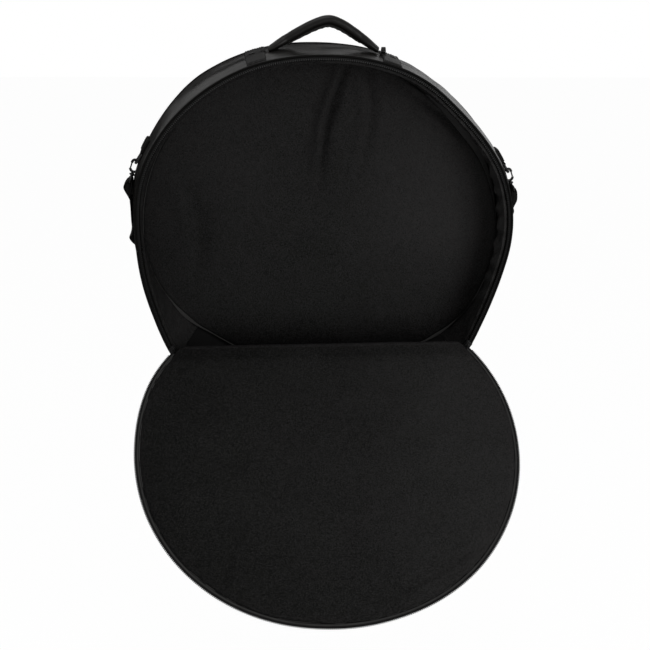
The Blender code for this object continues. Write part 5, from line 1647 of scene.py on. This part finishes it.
def strap_route(sign):
    """Half of the strap's line and its normals, from a side's leaf to the middle of the back."""
    _, _, _, _, down, out = side_frame(sign)
    bar, turn = EYE_BAR, EYE_TURN
    pairs = [(LEAF_END - WEBBING_THICKNESS, LEAF_BULGE * 0.35)]
    side = "left" if sign < 0 else "right"
    pairs += [(LEAF_END - LEAF_REACH * up, LEAF_BULGE * wide) for up, wide in LEAF_OUTSIDE_SHARES[side]]
    slope = turn * 0.7
    pairs += [(bar, turn), (bar - slope, slope), (bar - turn, 0.0), (bar - slope, -slope), (bar, -turn)]
    pairs += [(LEAF_END - LEAF_REACH * up, -LEAF_BULGE * wide) for up, wide in LEAF_INSIDE_SHARES]
    pairs.append((LEAF_END, 0.0))
    places = [leaf_place(along, across, sign) for along, across in pairs]
    normals = []
    for k in range(len(pairs)):
        before = pairs[max(k - 1, 0)]
        after = pairs[min(k + 1, len(pairs) - 1)]
        step = unit(down * (after[0] - before[0]) + out * (after[1] - before[1]))
        normals.append(np.array((-step[2], 0.0, step[0])))
    behind = STRAP_Y - MID_DEPTH
    for x, depth, height, aside, back in STRAP_TURN_SHARES:
        place = np.array((GUSSET_TOP * x, MID_DEPTH + behind * depth, GUSSET_TOP * height))
        beyond = place[1] > BODY_DEPTH
        places.append(place if beyond and height < 0 else at_wall(place, sign, 1.0))
        normals.append(unit(np.array((aside, back, 0.0))))
    high = places[-1]
    run = np.array((-STRAP_RUN, 0.0, -STRAP_RUN)) / sqrt(2)
    for share in (0.33, 0.67, 1.0):
        places.append(high + run * share)
        normals.append(BACKWARD)
    low = high + run
    for across, drop in ((0.72, 0.42), (0.38, 0.80), (0.0, 1.0)):
        places.append(np.array((low[0] * across, STRAP_Y, low[2] - low[0] * 0.42 * drop)))
        normals.append(BACKWARD)
    return np.array(places), np.array(normals)


def ribbon(name, places, normals, width, thickness, finish, puff=0.0):
    """A flat band along a line, slightly thinner at its woven edges."""
    along = unit(np.gradient(places, axis=0))
    across = unit(np.cross(along, normals))
    face = unit(np.cross(across, along))
    shares = np.array((-0.5, -0.46, -0.3, 0.0, 0.3, 0.46, 0.5))
    half = thickness / 2 * np.array((0.55, 0.95, 1.0, 1.0, 1.0, 0.95, 0.55)) + puff * np.cos(pi * shares)
    middle = places[:, None] + across[:, None] * (width * shares)[None, :, None]
    rise = face[:, None] * half[None, :, None]
    return shell(name, middle + rise, middle - rise, finish, sharp=60.0)


def build_leaf_fill(side, sign):
    """The layers of webbing sewn together inside the strap's folded end."""
    clear = WEBBING_THICKNESS / 2 + 0.0002
    outline = [(EYE_BAR + EYE_WIRE + 0.0006, EYE_TURN - clear)]
    for up, wide in reversed(LEAF_OUTSIDE_SHARES[side]):
        outline.append((LEAF_END - LEAF_REACH * up, LEAF_BULGE * wide - clear))
    outline += [(LEAF_END - 0.0032, LEAF_BULGE * 0.35 - clear + 0.0006), (LEAF_END - 0.0032, -0.0006)]
    for up, wide in reversed(LEAF_INSIDE_SHARES):
        outline.append((LEAF_END - LEAF_REACH * up, clear - LEAF_BULGE * wide))
    outline.append((EYE_BAR + EYE_WIRE + 0.0006, clear - EYE_TURN))
    middle = np.mean(outline, 0)
    sections = []
    for depth, size in ((-0.0118, 0.86), (-0.0112, 1.0), (0.0, 1.0), (0.0112, 1.0), (0.0118, 0.86)):
        corners = middle + (np.array(outline) - middle) * size
        loop = [leaf_place(along, across, sign) + BACKWARD * depth for along, across in corners]
        sections.append(np.array(loop) * np.array((sign, 1.0, 1.0)))
    fill = sweep(f"strap_fold_{side}", sections, WEBBING)
    finish_piece(fill, "body")


def build_strap():
    """The webbing with its two folded ends, in one line from side to side."""
    for side, sign in SIDES:
        build_leaf_fill(side, sign)
    places, normals = strap_route(1)
    left, left_normals = strap_route(-1)
    left = left[:-1][::-1] * MIRROR
    left_normals = left_normals[:-1][::-1] * np.array((1.0, -1.0, -1.0))
    places = smooth(np.concatenate((places, left)), 5)
    normals = unit(smooth(np.concatenate((normals, left_normals)), 5))
    turned = np.concatenate(([1.0], np.sum(normals[1:] * normals[:-1], 1))) < -0.2
    flip = np.cumprod(np.where(turned, -1.0, 1.0))
    normals = normals * flip[:, None]
    piece = ribbon("strap_band", places, normals, STRAP_WIDTH, WEBBING_THICKNESS, WEBBING)
    finish_piece(piece, "body", "strap_webbing")


def build_pad_and_slide():
    """The pad behind the strap's lowest stretch, and the slide on its left."""
    foot, _ = strap_route(1)
    middle = np.concatenate((foot[-3:], foot[-3:-1][::-1] * MIRROR))
    middle = smooth(middle - BACKWARD * PAD_STANDS_OFF, 8)
    behind = np.broadcast_to(BACKWARD, middle.shape)
    pad = ribbon("strap_cushion", middle, behind, PAD_WIDTH, PAD_THICKNESS, LEATHER, PAD_PUFF)
    finish_piece(pad, "body", "strap_pad", fill=0.8)
    start = foot[-6] * MIRROR
    along = unit(np.array((1.0, 0.0, -1.0)))
    across = np.cross(along, BACKWARD)
    half = STRAP_WIDTH / 2 + SLIDE_CLEARANCE + SLIDE_WIRE
    rise = WEBBING_THICKNESS / 2 + SLIDE_CLEARANCE + SLIDE_WIRE
    corners = [(-half, -rise), (0.0, -rise), (half, -rise), (half, rise), (0.0, rise), (-half, rise)]
    points = [start + across * x + BACKWARD * y for x, y in corners]
    keeper = tube("slide_metal", points, SLIDE_WIRE, METAL, 12, True, along)
    finish_piece(keeper, "strap_slide", "strap_slide")


# Zip runners, taken from the model and rounded


SLIDER_ROUNDING = 0.0005
PULL_ROUNDING = 0.0004


def rounded_copy(node, name, body, width, finish):
    """A copy of a CAD node with its doubles merged and its edges rounded."""
    source = bpy.data.objects[node]
    mesh = source.data.copy()
    shape = bmesh.new()
    shape.from_mesh(mesh)
    bmesh.ops.remove_doubles(shape, verts=shape.verts, dist=1e-6)
    bmesh.ops.dissolve_limit(shape, angle_limit=radians(2), verts=shape.verts, edges=shape.edges)
    shape.to_mesh(mesh)
    shape.free()
    mesh.materials.clear()
    mesh.materials.append(finish)
    piece = bpy.data.objects.new(name, mesh)
    bpy.context.scene.collection.objects.link(piece)
    bevel = piece.modifiers.new("soft_edge", "BEVEL")
    bevel.width = width
    bevel.segments = 3
    bevel.angle_limit = radians(30)
    mesh.shade_smooth()
    mesh.set_sharp_from_angle(angle=radians(50))
    return finish_piece(piece, body, node)


def build_runners():
    for slider, pull, runner, puller in (
        ("zip_slider_left", "zip_pull_left", "slider_left", "pull_left"),
        ("zip_slider_right", "zip_pull_right", "slider_right", "pull_right"),
        ("pocket_slider", "pocket_pull", "pocket_slider", "pocket_pull"),
    ):
        rounded_copy(slider, f"{runner}_metal", runner, SLIDER_ROUNDING, DARK_METAL)
        rounded_copy(pull, f"{puller}_metal", puller, PULL_ROUNDING, METAL)


# Stage


CAMERA_LIFT_ANGLE = 22.57
CAMERA_ASIDE_ANGLE = 4.88
CAMERA_ROLL_ANGLE = 0.88
CAMERA_TARGET = (0.00468, -0.043, -0.44255)
CAMERA_DISTANCE = 1.64556
CAMERA_LENS = 58.755
SURROUND_STRENGTH = 0.42
FLOOR_LEVEL = CAD_LOW[2] - 0.35
FLOOR_HALF_WIDTH = 6.0
BAG_MIDDLE = (0.0, -0.10, -0.35)
# Name, place, aim, width, height and power of each lamp
LAMPS = (
    ("light_above", (-0.25, -0.3, 1.5), BAG_MIDDLE, 1.2, 0.9, 16.0),
    ("light_front", (1.3, -2.0, 0.1), (0.0, -0.1, -0.3), 1.2, 1.4, 40.0),
    ("light_right", (2.0, -0.9, 0.4), BAG_MIDDLE, 1.0, 1.6, 6.0),
    ("light_left", (-2.0, -0.7, 0.4), BAG_MIDDLE, 1.0, 1.6, 12.0),
)


def build_camera():
    lift, aside, roll = (radians(a) for a in (CAMERA_LIFT_ANGLE, CAMERA_ASIDE_ANGLE, CAMERA_ROLL_ANGLE))
    back = Vector((-sin(aside) * cos(lift), -cos(aside) * cos(lift), sin(lift)))
    data = bpy.data.cameras.new("camera")
    data.lens = CAMERA_LENS
    data.sensor_width = 36.0
    camera = bpy.data.objects.new("camera", data)
    spin = Matrix.Rotation(roll, 3, "Z")
    turn = (back.to_track_quat("Z", "Y").to_matrix() @ spin).to_4x4()
    camera.matrix_world = Matrix.Translation(Vector(CAMERA_TARGET) + back * CAMERA_DISTANCE) @ turn
    bpy.context.scene.collection.objects.link(camera)
    bpy.context.scene.camera = camera


def soft_box(name, place, aim, width, height, power):
    data = bpy.data.lights.new(name, "AREA")
    data.shape = "RECTANGLE"
    data.size = width
    data.size_y = height
    data.energy = power
    lamp = bpy.data.objects.new(name, data)
    lamp.location = place
    lamp.rotation_mode = "QUATERNION"
    lamp.rotation_quaternion = (Vector(aim) - Vector(place)).to_track_quat("-Z", "Y")
    bpy.context.scene.collection.objects.link(lamp)


def studio_node(tree, kind, inputs, operation=None):
    """A node whose inputs are linked where a socket is given, and set to a value elsewhere."""
    made = tree.nodes.new(kind)
    if operation:
        made.operation = operation
    for place, value in enumerate(inputs):
        if isinstance(value, bpy.types.NodeSocket):
            tree.links.new(value, made.inputs[place])
        else:
            made.inputs[place].default_value = value
    return made.outputs[0]


def show_white(tree, shader, dim, output):
    """Mixes plain white in for the camera's own, mirror and glass rays."""
    ray = tree.nodes.new("ShaderNodeLightPath").outputs
    bounced = (ray["Is Glossy Ray"], ray["Is Transmission Ray"])
    bounced = studio_node(tree, "ShaderNodeMath", bounced, "MAXIMUM")
    seen = studio_node(tree, "ShaderNodeMath", (ray["Is Camera Ray"], bounced), "MAXIMUM")
    share = studio_node(tree, "ShaderNodeMath", (seen, dim), "MULTIPLY")
    kind = "ShaderNodeBackground" if shader.type == "BACKGROUND" else "ShaderNodeEmission"
    white = studio_node(tree, kind, ((1.0, 1.0, 1.0, 1.0), 1.0))
    blend = studio_node(tree, "ShaderNodeMixShader", (share, shader.outputs[0], white))
    tree.links.new(blend, tree.nodes[output].inputs["Surface"])


# Upper edge of the dark card that stands behind the bag, seen only in its gloss
CARD_EDGE = (
    (-2.4, -0.4, -0.30), (-2.4, 0.6, -0.20), (-2.0, 1.3, 0.05), (-1.2, 1.5, 0.28),
    (-0.85, 1.5, 0.50), (-0.42, 1.5, 0.76), (0.1, 1.5, 0.70), (0.35, 1.5, 0.52), (0.6, 1.5, 0.10),
    (0.9, 1.5, -0.45), (2.4, 0.9, -0.90), (2.4, -0.4, -0.30),
)


def build_surround():
    """Even white light from all round."""
    world = bpy.data.worlds.new("studio")
    bpy.context.scene.world = world
    world.use_nodes = True
    tree = world.node_tree
    surround = tree.nodes["Background"]
    surround.inputs["Color"].default_value = (1.0, 1.0, 1.0, 1.0)
    surround.inputs["Strength"].default_value = SURROUND_STRENGTH
    show_white(tree, surround, 1.0, "World Output")


def stage_sheet(name, points, faces, finish):
    """A sheet of the studio, which isn't part of the object."""
    mesh = bpy.data.meshes.new(name)
    mesh.from_pydata(points, [], faces)
    mesh.materials.append(finish.material)
    sheet = bpy.data.objects.new(name, mesh)
    bpy.context.scene.collection.objects.link(sheet)
    return sheet


def build_floor():
    pale = Finish("pale_floor", Base_Color=(0.86, 0.86, 0.86, 1.0), Roughness=0.9)
    show_white(pale.tree, pale.shader, 0.97, "Material Output")
    wide = FLOOR_HALF_WIDTH
    corners = [(x * wide, y * wide, FLOOR_LEVEL) for x, y in ((-1, -1), (1, -1), (1, 1), (-1, 1))]
    stage_sheet("floor", corners, [(0, 1, 2, 3)], pale)


def build_card():
    """A dark card behind the bag, which only its gloss sees."""
    dark = Finish("dark_card", Base_Color=(0.004, 0.004, 0.004, 1.0), Specular_IOR_Level=0.0)
    foot = [(x, y, FLOOR_LEVEL) for x, y, _ in CARD_EDGE]
    count = len(foot)
    faces = [(k, k + 1, count + k + 1, count + k) for k in range(count - 1)]
    card = stage_sheet("dark_card", foot + list(CARD_EDGE), faces, dark)
    card.visible_camera = False
    card.visible_diffuse = False
    card.visible_shadow = False


def build_lamps():
    for lamp in LAMPS:
        soft_box(*lamp)


def main():
    scene = bpy.context.scene
    scene.view_settings.view_transform = "Standard"
    for build in (build_camera, build_walls, build_back, build_trim, build_mouth_zip, build_lid_zip,
                  build_lid, build_apron, build_fold, build_end_tabs, build_pocket, build_handle):
        build()
    for build in (build_chape, build_side):
        for side, sign in SIDES:
            build(side, sign)
    for build in (build_strap, build_pad_and_slide, build_runners, build_surround, build_floor,
                  build_card, build_lamps):
        build()


main()
